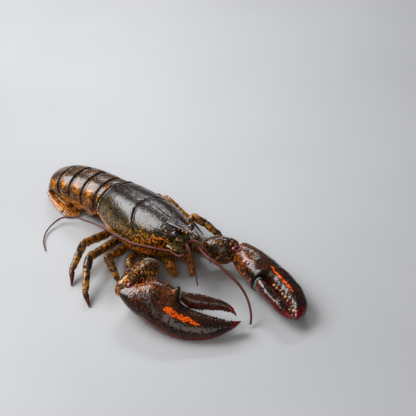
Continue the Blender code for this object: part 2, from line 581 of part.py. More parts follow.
def make_arm(shape, joints, tip, roll, hand, label):
    """The arm's three segments and its claw. Their meeting faces lie halfway round each bend."""
    planes = joint_planes(np.concatenate([joints, [tip]]))
    side = UP
    hip = [(0, 4.4, 4.4), (0.5, 4.9, 5.2), (1, 4.2, 4.8)]
    upper = [(0, 4.4, 5.0), (0.3, 5.6, 6.0), (0.8, 6.4, 7.4), (0.95, 6.6, 7.4), (1, 5.6, 6.4)]
    wrist = [(0, 5.5, 5.8), (0.14, 8.8, 9.0), (0.4, 10.8, 11.3), (0.65, 11.1, 11.5), (0.88, 9.1, 9.3), (1, 5.4, 5.0)]
    for i, (name, profile) in enumerate((("ischium", hip), ("merus", upper), ("carpus", wrist))):
        profile = [(f, MM * w, MM * t) for f, w, t in profile]
        rings = segment(joints[i], joints[i + 1], planes[i], planes[i + 1], side, profile, 14)
        piece = body(f"arm_{label}_{name}", rings, CLAW)
        if name == "ischium":
            continue
        way = unit(joints[i + 1] - joints[i])
        inward = unit(np.cross(way, UP)) * hand
        length = np.linalg.norm(joints[i + 1] - joints[i])
        reach = max(t for _, _, t in profile)
        spines = []
        for at, turn in ((0.28, 0.35), (0.48, 1.0), (0.66, 0.2)):
            out = unit(inward * -turn + UP * (1 - turn) + 0.4 * way)
            foot = joints[i] + at * length * way + out * reach * 0.72
            spines.append(body("spine", cone(foot, foot + out * 0.0060, 0.0018), CLAW))
        fused(piece, spines)
    make_claw(shape, joints[3], tip, roll, hand, label, planes[3])


# Abdomen and tail fan


def abdomen_frames():
    """Back points of the seven joints with the plane normal, the way down and the way across of each."""
    turns = [*RING_TURN, RING_TURN[-1]]
    ways = [np.array([-np.cos(s) * np.cos(t), -np.cos(s) * np.sin(t), -np.sin(s)])
            for s, t in zip((*RING_SLOPE, TELSON_SLOPE), turns)]
    points = [ABDOMEN_START]
    for way, length in zip(ways, RING_LENGTH):
        points.append(points[-1] + length * way)
    normals = [unit([-1.0, 0.0, REAR_LEAN])] + [unit(a + b) for a, b in zip(ways[:-1], ways[1:])]
    mean = [0.0] + [(a + b) / 2 for a, b in zip(turns[:-1], turns[1:])]
    across = [np.array([-np.sin(t), np.cos(t), 0.0]) for t in mean]
    across = [unit(a - (a @ n) * n) for a, n in zip(across, normals)]
    downs = [np.cross(n, a) for a, n in zip(across, normals)]
    return points, normals, downs, across, ways


def ring_section(half, depth, pleura):
    """Section of one abdomen ring as (across, down): an arch over a flat belly, flanks drawn to points."""
    angle = np.linspace(0, np.pi, 15)
    across = -half * power(np.cos(angle), 0.9)
    down = depth * 0.62 * (1 - power(np.sin(angle), 0.85))
    flank = [[half * 0.995, depth * 0.80], [half * 0.93, depth * (0.80 + 0.2 * pleura)], [half * 0.84, depth * 0.86],
             [half * 0.66, depth * 0.80]]
    right = [[-y, d] for y, d in reversed(flank)]
    return np.concatenate([np.stack([across, down], axis=1), flank, right])


def make_abdomen():
    points, normals, downs, across, ways = abdomen_frames()
    for i in range(6):
        rings = []
        for part, swell, pleura in ((0, 0.955, 0.1), (0.12, 0.985, 0.4), (0.5, 1.0, 1.0), (0.86, 1.012, 0.5), (1, 1.0, 0.1)):
            gap = GAP * (0.5 - part)
            back = points[i] * (1 - part) + points[i + 1] * part + normals[i] * gap * (1 - part) + normals[i + 1] * gap * part
            down = downs[i] * (1 - part) + downs[i + 1] * part
            half = RING_HALF_WIDTH[i] * (1 - part) + RING_HALF_WIDTH[i + 1] * part
            depth = RING_DEPTH[i] * (1 - part) + RING_DEPTH[i + 1] * part
            section = ring_section(half * swell, depth, pleura)
            sunk = (1 - swell) * 0.018
            wide = across[i] * (1 - part) + across[i + 1] * part
            rings.append(back + np.outer(section[:, 1] + sunk, down) + np.outer(section[:, 0], wide))
        body(f"abdomen_{i + 1}", rings, SHELL)
    return points, (points[6], normals[6], downs[6], across[6], ways[6])


def make_swimmerets(middle):
    """The folded row of swimming legs under the abdomen, one lumpy slab on each side of its middle line."""
    stations = MM * np.linspace(-77, -47, 22)
    middle = np.array(middle)[::-1]
    for hand, label in ((1, "l"), (-1, "r")):
        rings = []
        for x in stations:
            wave = np.cos(2 * np.pi * (x + 0.047) / 0.0125)
            ends = np.clip(min(x + 0.0815, -0.0455 - x) / 0.004, 0.3, 1) ** 0.5
            y = np.interp(x, middle[:, 0], middle[:, 1]) + hand * 0.0125
            wide = (0.0046 + 0.0012 * wave) * ends
            top, low = 0.0072, 0.0044 - 0.0004 * wave
            angle = np.linspace(0, 2 * np.pi, 10, endpoint=False)
            mid = (top + low) / 2
            z = mid + (top - mid) * ends * power(np.sin(angle), 0.7)
            rings.append(np.stack([np.full(10, x), y + wide * power(np.cos(angle), 0.7), z], axis=1))
        body(f"swimmerets_{label}", rings, UNDERSIDE)


def blade(name, root, plane, tip, side, half, thick, sides=12):
    """A flat rounded plate, cut at its root by a plane: one lobe of the tail fan."""
    outline = [(0, 0.45, 0.8), (0.15, 0.68, 1.0), (0.45, 0.95, 0.9), (0.75, 1.0, 0.75), (0.92, 0.82, 0.6), (1, 0.45, 0.4)]
    profile = [(f, half * w, thick * t) for f, w, t in outline]
    return body(name, segment(root, tip, plane, tip - root, side, profile, sides, square=0.8, gaps=(1, 0)), FAN)


def make_fan(end, plane, down, across, way):
    """Middle plate and two side plates a side; the left ones mirror the right ones in the tail's mid plane."""
    root = end + TELSON_DEPTH * down
    blade("telson", root, plane, root + TELSON_LENGTH * way, across, 0.0090, 0.0013)
    for name, (sideways, depth, tip, half, thick, lean) in FAN_PLATES.items():
        root = end - sideways * across + depth * down
        edge = np.array([0.0, np.cos(np.radians(lean)), np.sin(np.radians(lean))])
        blade(f"uropod_{name}_r", root, plane, tip, edge, half, thick)
        root, tip = (v - 2 * ((v - end) @ across) * across for v in (root, tip))
        edge = edge - 2 * (edge @ across) * across
        blade(f"uropod_{name}_l", root, plane, tip, edge, half, thick)


def build():
    make_shield()
    make_head()
    make_breast()
    make_feelers()
    make_mouth_legs()
    for hand, label in ((1, "l"), (-1, "r")):
        make_eye(hand, label)
    for pair in LEGS_RIGHT:
        make_leg(pair, -1, "r", LEGS_RIGHT[pair])
        make_leg(pair, 1, "l", LEGS_LEFT[pair])
    make_arm(CUTTER, ARM_RIGHT, CLAW_TIP_RIGHT, CLAW_ROLL_RIGHT, -1, "r")
    make_arm(CRUSHER, ARM_LEFT, CLAW_TIP_LEFT, CLAW_ROLL_LEFT, 1, "l")
    back, end = make_abdomen()
    make_fan(*end)
    make_swimmerets(back)


for leftover in list(bpy.data.objects):
    bpy.data.objects.remove(leftover)
build()
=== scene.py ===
"""Looks of a life-size american lobster at rest: every shell plate, feeler and bristle, in metres, +Z up.

+X points to the head and +Y to the animal's left. Each plate is a grid of closed rings worked out
from the sizes that the animal has, and stands for the solid of the same name.
"""

from itertools import product

import bpy
import numpy as np
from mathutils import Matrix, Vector


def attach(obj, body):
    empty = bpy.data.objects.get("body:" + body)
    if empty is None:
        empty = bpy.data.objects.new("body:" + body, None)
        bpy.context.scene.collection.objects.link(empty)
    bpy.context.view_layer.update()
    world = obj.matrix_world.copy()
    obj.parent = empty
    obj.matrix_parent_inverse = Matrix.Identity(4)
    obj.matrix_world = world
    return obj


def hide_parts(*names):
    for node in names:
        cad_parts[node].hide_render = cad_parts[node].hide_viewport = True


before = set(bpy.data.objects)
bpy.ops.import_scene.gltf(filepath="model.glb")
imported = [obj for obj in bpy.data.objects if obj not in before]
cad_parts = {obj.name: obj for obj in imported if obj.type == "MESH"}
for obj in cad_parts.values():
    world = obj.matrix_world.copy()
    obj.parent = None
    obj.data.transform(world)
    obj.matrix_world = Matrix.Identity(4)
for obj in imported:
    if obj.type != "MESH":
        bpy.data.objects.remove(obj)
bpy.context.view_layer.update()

# Trunk shield. One limy plate over the back and flanks, wet and glossy, near black on the back and
# olive to orange on the flanks. A neck groove crosses it, and its lower edge is a rounded hem.

MM = 0.001
GAP = 0.00015
UP = np.array([0.0, 0.0, 1.0])
LEFT = np.array([0.0, 1.0, 0.0])


def mm(*rows):
    """Sizes or points given in millimetres, in metres."""
    return MM * np.array(rows)


SHIELD_X = mm(-46, -30, -12, 4, 18, 30, 39, 45.5)
SHIELD_HALF_WIDTH = mm(20.4, 23.6, 25.8, 26.2, 24.4, 20.2, 14.8, 9.0)
SHIELD_TOP = mm(38.0, 40.6, 43.0, 44.4, 45.0, 45.0, 44.5, 44.0)
SHIELD_WIDEST = mm(18.5, 17.5, 17.5, 18.5, 21.5, 26.5, 31.5, 34.0)
SHIELD_EDGE = mm(9.4, 8.4, 8.0, 7.8, 8.6, 9.8, 14.0, 19.0)
REAR_LEAN = 0.17
GROOVE_X = -0.0016
GROOVE_SWEEP = 0.026


def unit(v):
    v = np.asarray(v, float)
    return v / np.maximum(np.linalg.norm(v, axis=-1, keepdims=True), 1e-12)


def power(v, exponent):
    return np.sign(v) * np.abs(v) ** exponent


def squarish(angle, exponent):
    """Cosine and sine of an angle, with the corners of the round filled out as the exponent falls."""
    return power(np.cos(angle), exponent), power(np.sin(angle), exponent)


def bell(v, width):
    """A soft hump: 1 at v = 0 and about a third one width away."""
    return np.exp(-((v / width) ** 2))


def step(v, low, high):
    """0 below low, 1 above high, and a smooth rise between."""
    t = np.clip((v - low) / (high - low), 0, 1)
    return t * t * (3 - 2 * t)


def smooth(x, table):
    """Monotone cubic through the rows (place, value) of a table, held level past its ends."""
    xs, ys = np.asarray(table, float).T[:2]
    h, d = np.diff(xs), np.diff(ys) / np.diff(xs)
    m = np.concatenate([[d[0]], (d[1:] + d[:-1]) / 2, [d[-1]]])
    m[np.concatenate([[False], d[1:] * d[:-1] <= 0, [False]])] = 0
    i = np.clip(np.searchsorted(xs, x) - 1, 0, len(h) - 1)
    t = np.clip((x - xs[i]) / h[i], 0, 1)
    rise = ys[i] * (1 + 2 * t) * (1 - t) ** 2 + ys[i + 1] * t**2 * (3 - 2 * t)
    return rise + h[i] * (m[i] * t * (1 - t) ** 2 - m[i + 1] * t**2 * (1 - t))


def chances(cell, seed):
    """Four fixed random numbers in 0..1 for each lattice cell: the fraction of a large sine of its place."""
    spread = np.array([[127.1, 269.5, 113.5, 71.7], [311.7, 183.3, 271.9, 419.2],
                       [74.7, 246.1, 124.6, 93.1]])
    return np.modf(np.abs(np.sin(cell @ spread + seed * 12.9898)) * 43758.5453)[0]


def cloud(points, size, seed):
    """Soft lumps in -1..1: random lattice values of that spacing, blended by a cubic in every direction."""
    cell = np.floor(points / size)
    part = points / size - cell
    part = part * part * (3 - 2 * part)
    total = 0.0
    for corner in product((0, 1), repeat=3):
        total += np.prod(np.where(corner, part, 1 - part), axis=-1) * chances(cell + corner, seed)[..., 0]
    return 2 * total - 1


def grains(points, spacing, seed, low=0.22, high=0.5):
    """Rounded grains in 0..1, one in each cube of a lattice, with radii from low to high cubes."""
    cell = np.floor(points / spacing)
    height = np.zeros(points.shape[:-1])
    for shift in product((-1, 0, 1), repeat=3):
        chance = chances(cell + shift, seed)
        centre = (cell + shift + 0.2 + 0.6 * chance[..., :3]) * spacing
        reach = spacing * (low + (high - low) * chance[..., 3])
        height = np.maximum(height, 1 - (np.linalg.norm(points - centre, axis=-1) / reach) ** 2)
    return height


def full_turn(count):
    """That many angles evenly round."""
    return np.linspace(0, 2 * np.pi, count, endpoint=False)


def net(stations, around):
    """Two arrays over a surface: each point's station along the piece and its angle round it."""
    return np.meshgrid(stations, full_turn(around), indexing="ij")


def outward(grid):
    """Unit normals of a grid of closed rings, turned away from the rings' middles."""
    around = np.roll(grid, -1, axis=1) - np.roll(grid, 1, axis=1)
    normal = unit(np.cross(np.gradient(grid, axis=0), around))
    inside = ((grid - grid.mean(axis=1, keepdims=True)) * normal).sum() < 0
    return -normal if inside else normal


def raised(grid, height):
    return grid + outward(grid) * np.asarray(height)[..., None]


def patch(grid, hem=0.0004, tone=0.5, spots=0.5, warm=0.0, rim=0.0):
    """A closed patch: a grid of rings, its two ends rounded in by hem, and its marks, one number a point.
    tone runs from the pale flank at 0 to the dark back at 1, spots is how freckled it is, warm how much
    of the warm patch colour it has, and rim how much of the edge colour."""
    marks = [np.broadcast_to(v, grid.shape[:2]) for v in (tone, spots, warm, rim)]
    if hem:
        turns = np.linspace(0, np.pi / 2, 4)[1:]
        rows = []
        for end, inner in ((0, 1), (-1, -2)):
            middle = grid[end].mean(axis=0)
            out = unit(middle - grid[inner].mean(axis=0))
            away = grid[end] - middle
            spread = np.maximum(np.linalg.norm(away, axis=1, keepdims=True), hem * 1.1)
            rows.append([middle + away * (1 - hem / spread * (1 - np.cos(t))) + out * 0.3 * hem * np.sin(t)
                         for t in turns])
        grid = np.concatenate([rows[0][::-1], grid, rows[1]])
        marks = [np.pad(v, ((len(turns), len(turns)), (0, 0)), mode="edge") for v in marks]
    return grid, np.stack(marks, axis=-1)


def linked(name, data):
    """A new object of the scene."""
    made = bpy.data.objects.new(name, data)
    bpy.context.scene.collection.objects.link(made)
    return made


def piece(name, mesh, finish):
    """A smooth-shaded object of the mesh, on the one body that the frame has."""
    mesh.shade_smooth()
    mesh.materials.append(finish)
    made = linked(name, mesh)
    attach(made, "root")
    return made


def plate(name, patches, finish, slot, *replaced, crease=50):
    """Mesh object of closed patches: each ring is joined to the next, and a fan closes each end."""
    points, marks, quads, fans, first = [], [], [], [], 0
    for grid, values in patches:
        rings, count = grid.shape[:2]
        index = np.arange(rings * count).reshape(rings, count)
        after = np.roll(index, -1, axis=1)
        quad = np.stack([index[:-1], after[:-1], after[1:], index[1:]], axis=-1).reshape(-1, 4)
        hub = rings * count
        fan = np.concatenate([
            np.stack([np.full(count, hub), after[0], index[0]], axis=-1),
            np.stack([np.full(count, hub + 1), index[-1], after[-1]], axis=-1)])
        own = np.concatenate([grid.reshape(-1, 3), grid[[0, -1]].mean(axis=1)])
        faces = np.concatenate([quad[:, :3], quad[:, [0, 2, 3]], fan])
        a, b, c = (own[faces[:, k]] - own.mean(axis=0) for k in range(3))
        if (a * np.cross(b, c)).sum() < 0:
            quad, fan = quad[:, ::-1], fan[:, ::-1]
        points.append(own)
        marks.append(np.concatenate([values.reshape(-1, 4), values[[0, -1]].mean(axis=1)]))
        quads.append(quad + first)
        fans.append(fan + first)
        first += len(own)
    mesh = bpy.data.meshes.new(name)
    mesh.from_pydata(np.concatenate(points), [], np.concatenate(quads).tolist()
                     + np.concatenate(fans).tolist())
    for key, column in zip(("tone", "spots", "warm", "rim"), np.concatenate(marks).T):
        mesh.attributes.new(key, "FLOAT", "POINT").data.foreach_set("value", column.astype(np.float32))
    made = piece(name, mesh, finish)
    mesh.set_sharp_from_angle(angle=np.radians(crease))
    if replaced:
        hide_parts(*replaced)


class Wire:
    """An output socket of a material. Arithmetic on it adds Math nodes, and node() adds any other node."""

    def __init__(self, socket):
        self.socket = socket

    def node(self, kind, settings=None, sockets=None, output=0):
        """A node of that kind: its settings, its input sockets as values or wires, and the output wanted."""
        tree = self.socket.id_data
        made = tree.nodes.new(kind)
        for key, value in (settings or {}).items():
            if key == "stops":
                ramp = made.color_ramp
                while len(ramp.elements) < len(value):
                    ramp.elements.new(0.5)
                for element, (place, *colour) in zip(ramp.elements, value):
                    element.position = place
                    element.color = (*colour, 1)
            else:
                setattr(made, key, value)
        for key, value in (sockets or {}).items():
            if isinstance(value, Wire):
                tree.links.new(value.socket, made.inputs[key])
            else:
                made.inputs[key].default_value = value
        return Wire(made.outputs[output])

    def maths(self, operation, a, b):
        return self.node("ShaderNodeMath", {"operation": operation}, {0: a, 1: b})

    def __add__(self, other):
        return self.maths("ADD", self, other)

    def __sub__(self, other):
        return self.maths("SUBTRACT", self, other)

    def __mul__(self, other):
        return self.maths("MULTIPLY", self, other)

    __radd__ = __add__

    def between(self, low, high):
        """0 where the wire is at low, 1 at high, and a smooth rise between."""
        return self.node("ShaderNodeMapRange", {"interpolation_type": "SMOOTHSTEP"},
                         {0: self, 1: low, 2: high})

    def noise(self, scale, detail=3.0, rough=0.55):
        return self.node("ShaderNodeTexNoise", None,
                         {"Vector": self, "Scale": scale, "Detail": detail, "Roughness": rough})

    def cells(self, scale):
        return self.node("ShaderNodeTexVoronoi", None, {"Vector": self, "Scale": scale})

    def ramp(self, stops):
        return self.node("ShaderNodeValToRGB", {"stops": stops}, {0: self})

    def mark(self, name):
        return self.node("ShaderNodeAttribute", {"attribute_name": name}, None, 2)

    def mixed(self, factor, other):
        """This colour turned towards another one, a wire or three numbers, by factor."""
        other = other if isinstance(other, Wire) else (*other, 1)
        sockets = {0: factor, 6: self, 7: other}
        return self.node("ShaderNodeMix", {"data_type": "RGBA"}, sockets, 2)


def begin(name, **constants):
    """A new material with its constant sockets set: its shader, and the wire of Object coordinates."""
    made = bpy.data.materials.new(name)
    made.use_nodes = True
    shader = made.node_tree.nodes["Principled BSDF"]
    for key, value in constants.items():
        shader.inputs[key.replace("_", " ")].default_value = value
    place = Wire(made.node_tree.nodes.new("ShaderNodeTexCoord").outputs["Object"])
    return made, shader, place


def connect(shader, **wires):
    for key, wire in wires.items():
        shader.id_data.links.new(wire.socket, shader.inputs[key.replace("_", " ")])


# How many blotches a metre each pattern of the shell has.
BROAD, PATCHY, FLECKS, FRECKLES, GRAIN, PITS = 85, 310, 560, 470, 1500, 900
FRECKLE_COLOUR = (0.007, 0.005, 0.005)


def shell_finish(name, stops, warm, rim, fleck=(0.50, 0.19, 0.025), fine=1.0, gloss=0.20, bumps=0.00024):
    """Wet shell: a ramp of ground colours by tone, clouded, with warm patches, light flecks, coloured
    edges and black freckles. fine scales the patterns, gloss is the least roughness, bumps the relief."""
    made, shader, place = begin(name, IOR=1.40, Coat_Weight=0.30, Coat_Roughness=0.05, Coat_IOR=1.4)
    broad = place.noise(BROAD * fine, 4.0, 0.6)
    patchy = place.noise(PATCHY * fine, 3.0, 0.6)
    ground, spots = place.mark("tone"), place.mark("spots")
    tone = ground + (broad - 0.5) * 0.60 + (patchy - 0.5) * 0.55
    colour = tone.ramp(stops)
    light = place.noise(FLECKS * fine, 2.0, 0.6) + spots * 0.10 - ground * 0.22
    colour = colour.mixed(light.between(0.53, 0.62) * 0.75, fleck)
    glow = place.mark("warm") + (patchy - 0.5) * 1.0 + (broad - 0.5) * 0.5
    colour = colour.mixed(glow.between(0.42, 0.70), warm)
    colour = colour.mixed((place.mark("rim") + (patchy - 0.5) * 0.4).between(0.35, 0.8), rim)
    blot = place.noise(FRECKLES * fine, 2.0, 0.6) + spots * 0.12
    colour = colour.mixed(blot.between(0.595, 0.635) * 0.93, FRECKLE_COLOUR)
    rough = gloss + (broad - 0.4) * 0.16 + (patchy - 0.5) * 0.20
    height = patchy * 0.6 + place.noise(GRAIN * fine, 2.0, 0.5) * 0.3 - place.cells(PITS * fine) * 0.3
    bump = place.node("ShaderNodeBump", None, {"Strength": 0.9, "Distance": bumps, "Height": height})
    connect(shader, Base_Color=colour, Roughness=rough, Normal=bump)
    return made


def shield_point(x, angle):
    """Point of the shield at station x and at an angle round it, 0 at the right flank and a quarter turn
    at the middle of the back: a half ellipse above the widest level, squarer below, leaning at the rear."""
    width, top, mid, low = (smooth(x, np.stack([SHIELD_X, v], axis=1))
                            for v in (SHIELD_HALF_WIDTH, SHIELD_TOP, SHIELD_WIDEST, SHIELD_EDGE))
    c, s = np.cos(angle), np.sin(angle)
    y = -width * np.where(s >= 0, power(c, 0.92), power(c, 0.5))
    z = np.where(s >= 0, mid + (top - mid) * np.abs(s) ** 0.92, mid - (mid - low) * np.abs(s) ** 0.75)
    lean = REAR_LEAN * (z - SHIELD_EDGE[0]) * np.clip((-0.026 - x) / 0.020, 0, 1)
    return np.stack([x + lean, y, z], axis=-1), (z - low) / (top - low)


def shield_patch():
    """The shield's grid with its grooves, hem and grain pressed into it, and its marks."""
    around = 2 * np.pi * np.linspace(0, 1, 250, endpoint=False)
    around = around + 0.35 * np.sin(2 * around) * (around > np.pi)
    x, angle = np.meshgrid(np.linspace(SHIELD_X[0], SHIELD_X[-1], 250), around, indexing="ij")
    grid, height = shield_point(x, angle)
    side = np.clip(np.sin(angle), 0, 1)
    line = GROOVE_X + GROOVE_SWEEP * (1 - side)
    over = step(np.sin(angle), 0.05, 0.45)
    press = ((0.0007 * bell(x - line, 0.0020) + 0.0007 * bell(x - line, 0.0008)) * over
             * (1 - 0.45 * step(side, 0.85, 0.97)))
    cheek = 0.30 + 0.20 * step(x, 0.008, 0.036)
    lower = bell(np.sin(angle) - cheek, 0.045) * step(x, 0.010, 0.016) * step(-x, -0.040, -0.030)
    press += 0.0003 * lower + 0.00035 * bell(grid[..., 1], 0.0006) * (height > 0.8)
    rear = x - SHIELD_X[0]
    seen = step(height, 0.02, 0.12)
    press += 0.0007 * bell(rear - 0.0042, 0.0011) * seen - 0.0003 * bell(rear - 0.0015, 0.0016) * seen
    press -= 0.0005 * bell(height - 0.035, 0.03) * (np.sin(angle) < 0)
    press += 0.0004 * bell(height - 0.10, 0.025) * (np.sin(angle) < 0)
    front = step(x, -0.002, 0.03)
    bumpy = (np.clip(grains(grid, 0.0019, 3), 0, 1)
             * (0.00014 + 0.00018 * front * (1 - 0.6 * step(height, 0.75, 0.95))))
    swell = 0.00022 * cloud(grid, 0.011, 5)
    grid = raised(grid, bumpy + swell - press)
    lumps = cloud(grid, 0.009, 6)
    # hollow follows the neck groove. Adding it to the tone below darkens the groove, which is painted shade
    # in the crease.
    hollow = bell(x - line, 0.0012) * over
    tone = (0.10 + 0.32 * step(height, 0.10, 0.36) + 0.24 * step(height, 0.45, 0.78)
            + 0.30 * step(height, 0.82, 0.97))
    # The 0.35 * front * bell(height, 0.10) term is painted shade. It darkens the lowest band of the shield's
    # front half.
    tone = (tone + 0.25 * hollow + 0.35 * front * bell(height, 0.10) + 0.12 * lumps
            - 0.30 * front * bell(height - 0.50, 0.2))
    warm = (1.15 * (1 - step(x, 0.022, 0.036)) * bell(height - 0.17, 0.12)
            + 0.72 * front * bell(height - 0.48, 0.24))
    warm = warm + 0.15 * lumps
    warm = warm + 0.75 * bell(x - 0.0355, 0.004) * bell(height - 0.66, 0.10)
    rim = 0.85 * bell(rear - 0.0012, 0.0014) * (1 - 0.6 * step(height, 0.45, 0.85))
    spots = 0.10 + 0.70 * bell(height - 0.46, 0.25) + 0.75 * front * bell(height - 0.5, 0.3)
    return patch(grid, 0.0008, tone, spots, warm, rim)


SHIELD_FINISH = shell_finish(
    "shield shell", [(0.0, 0.46, 0.16, 0.012), (0.25, 0.20, 0.092, 0.008), (0.48, 0.088, 0.052, 0.006),
                     (0.70, 0.038, 0.026, 0.008), (1.0, 0.026, 0.014, 0.013)],
    warm=(0.78, 0.23, 0.006), rim=(0.34, 0.32, 0.24), fleck=(0.50, 0.23, 0.015), gloss=0.16,
    bumps=0.00032)

# Beak and brow spines. The shield runs out between the eyes in a flat pointed beak, hollowed along its
# middle, with three orange-red spines a side, and small spines stand behind and below each eye.

BEAK_ROOT = mm(34.0, 0, 42.6)
BEAK_TIP = mm(61.8, 0, 46.8)
BEAK_WIDTH = mm([0, 5.6], [6, 5.2], [13, 4.0], [20, 2.6], [25, 1.3], [28.2, 0.35])
BEAK_DEPTH = mm([0, 3.6], [8, 3.2], [18, 2.2], [25, 1.2], [28.2, 0.35])
BEAK_SPINES = mm(13.5, 18.0, 22.5)
# Each brow spine's foot on the left side, its length and its radius.
BROW_SPINES = mm([39.0, 9.6, 41.4, 3.6, 1.0], [43.0, 11.0, 33.0, 2.6, 0.9], [41.0, 12.2, 37.6, 2.0, 0.8],
                 [40.6, 11.0, 39.6, 2.2, 0.8], [43.0, 11.0, 35.6, 2.2, 0.8], [35.5, 10.4, 42.2, 1.8, 0.8])


def beak_patch():
    """Rings along the beak, each a flattened round whose upper side is hollowed in the middle."""
    reach = np.linalg.norm(BEAK_TIP - BEAK_ROOT)
    run, angle = net(np.linspace(0, reach, 90), 64)
    c, s = squarish(angle, 0.8)
    wide, deep = smooth(run, BEAK_WIDTH), smooth(run, BEAK_DEPTH)
    hollow = 0.30 * deep * bell(c, 0.45) * (s > 0) * step(run, 0.004, 0.010)
    way = unit(BEAK_TIP - BEAK_ROOT)
    grid = BEAK_ROOT + run[..., None] * way + (wide * c)[..., None] * LEFT
    grid = grid + ((deep * s * 0.8 - hollow) + 0.0006 * np.abs(c) ** 2)[..., None] * UP
    grid = raised(grid, 0.00012 * np.clip(grains(grid, 0.0013, 8), 0, 1))
    return patch(grid, 0.0002, 0.92 - 0.25 * step(run, 0.016, 0.028), 0.4, 0.35 * step(np.abs(c), 0.8, 1.0))


def circle(side, over, count):
    """Points of a unit circle in the plane of two directions."""
    angle = full_turn(count)[:, None]
    return np.cos(angle) * side + np.sin(angle) * over


# A spine's rings: how far along each lies, and its girth as a part of the radius, up to the blunt tip.
THORN_RINGS = np.array([[-0.35, 1.7], [-0.1, 1.5], [0.0, 1.25], [0.1, 1.0], [0.25, 0.82], [0.45, 0.62],
                        [0.65, 0.42], [0.82, 0.26], [0.93, 0.17], [1.0, 0.10]])


def thorn(foot, tip, radius, around=14, warm=1.0, tone=0.3, blunt=0.10):
    """A spine: round rings from a flared foot, sunk back a little, to a blunt tip."""
    way = unit(tip - foot)
    side = unit(np.cross(way, UP if abs(way[2]) < 0.9 else LEFT))
    part = THORN_RINGS[:, 0]
    girth = radius * np.append(THORN_RINGS[:-1, 1], blunt)
    spine = foot + np.outer(part, tip - foot)
    shade = np.repeat(np.clip(part, 0, 1)[:, None], around, axis=1)
    rings = spine[:, None] + girth[:, None, None] * circle(side, np.cross(way, side), around)
    return patch(rings, 0, tone, 0.1, warm * (0.4 + 0.6 * shade))


patches = [shield_patch(), beak_patch()]
for hand in (-1, 1):
    for run in BEAK_SPINES:
        foot = BEAK_ROOT + run * unit(BEAK_TIP - BEAK_ROOT) + hand * smooth(run, BEAK_WIDTH) * 0.75 * LEFT
        patches.append(thorn(foot, foot + 0.0034 * unit([1.0, hand * 0.55, 0.25]), 0.0008, tone=0.7,
                             warm=0.8))
    for x, y, z, reach, radius in BROW_SPINES:
        foot = np.array([x, hand * y, z])
        patches.append(thorn(foot, foot + reach * unit([1.0, hand * 0.3, 0.16]), radius, tone=0.8,
                             warm=0.7))
plate("shield", patches, SHIELD_FINISH, "shell", "carapace")

# Head, eyes and their stalks. The head's front carries the feelers, and each eye is a glossy black
# ball on a short stalk with a golden-brown collar.

EYE_ROOT = mm(46.6, 6.6, 40.6)
EYE_WAY = unit([0.70, 0.34, 0.42])
# The stalk's length, how far out the ball's middle is set, and the ball's radius.
EYE_STALK, EYE_SET, EYE_BALL = 0.0036, 0.0042, 0.0027
HEAD_ROWS = mm([45.8, 8.6, 14.5, 38.6], [48.6, 8.4, 16.5, 38.4], [51.4, 6.8, 20.5, 37.0],
               [53.2, 3.6, 25.0, 34.5])


def mirrored(v, hand):
    return v * [1, hand, 1]


def square_to(way):
    """Two directions at right angles to this one and to each other, the first one level."""
    side = unit(np.cross(way, UP))
    return side, np.cross(way, side)


def ball(centre, sizes, axes=np.eye(3), rings=24, around=32, **marks):
    """An ellipsoid with its half sizes along three axes; its first and last rings shrink to the poles."""
    polar = np.linspace(0.02, np.pi - 0.02, rings)[:, None, None]
    angle = full_turn(around)[None, :, None]
    a, b, c = (axis * size for axis, size in zip(axes, sizes))
    grid = centre - np.cos(polar) * a + np.sin(polar) * (np.cos(angle) * b + np.sin(angle) * c)
    return patch(grid, 0, **marks)


def head_patch():
    """Rings of a squarish round that narrows forward, creased between the feelers' roots."""
    x, angle = net(np.linspace(*HEAD_ROWS[[0, -1], 0], 60), 90)
    wide, low, high = (smooth(x, HEAD_ROWS[:, [0, k]]) for k in (1, 2, 3))
    c, s = squarish(angle, 0.75)
    y = wide * c
    z = (low + high) / 2 + (high - low) / 2 * s
    grid = np.stack([x, y, z], axis=-1)
    folds = 0.0005 * np.sin(z / 0.0011) * step(x, 0.047, 0.050)
    grid = raised(grid, folds + 0.0004 * cloud(grid, 0.003, 11) - 0.0008 * bell(y, 0.0012))
    return patch(grid, 0.0010, 0.55 + 0.3 * cloud(grid, 0.004, 2), 0.7, 0.45 * bell(z - 0.030, 0.004))


HEAD_FINISH = shell_finish(
    "head shell", [(0.0, 0.34, 0.19, 0.035), (0.4, 0.15, 0.105, 0.03), (0.7, 0.06, 0.045, 0.018),
                   (1.0, 0.02, 0.014, 0.01)],
    warm=(0.55, 0.25, 0.03), rim=(0.5, 0.45, 0.3), fleck=(0.55, 0.33, 0.05), fine=1.2)
plate("head_front", [head_patch()], HEAD_FINISH, "shell", "head")

eye_finish, eye_shader, eye_place = begin("eye", Roughness=0.06, IOR=1.55, Coat_Weight=1.0,
                                          Coat_Roughness=0.02)
connect(eye_shader, Base_Color=eye_place.mark("warm").ramp([(0.0, 0.004, 0.004, 0.005),
                                                            (1.0, 0.30, 0.15, 0.035)]))
for hand, label in ((1, "l"), (-1, "r")):
    way = mirrored(EYE_WAY, hand)
    root = mirrored(EYE_ROOT, hand)
    side, over = square_to(way)
    run = np.linspace(0, 1, 24)
    girth = smooth(run, [[0, 0.0015], [0.45, 0.0017], [0.8, 0.0027], [1, 0.0028]])
    stalk = root + EYE_STALK * run[:, None, None] * way + girth[:, None, None] * circle(side, over, 28)
    collar = patch(stalk, 0.0002, warm=1.0)
    plate(f"eye_{label}", [collar, ball(root + EYE_SET * way, [0.0024, EYE_BALL, EYE_BALL],
                                        (way, side, over))], eye_finish, "eye", f"eye_{label}")

# Feelers. A long one a side on a thick jointed root with a pointed scale over it, ringed all along,
# and a short one that splits in two. Maroon and pliant, they trail back on the right, forward on the left.

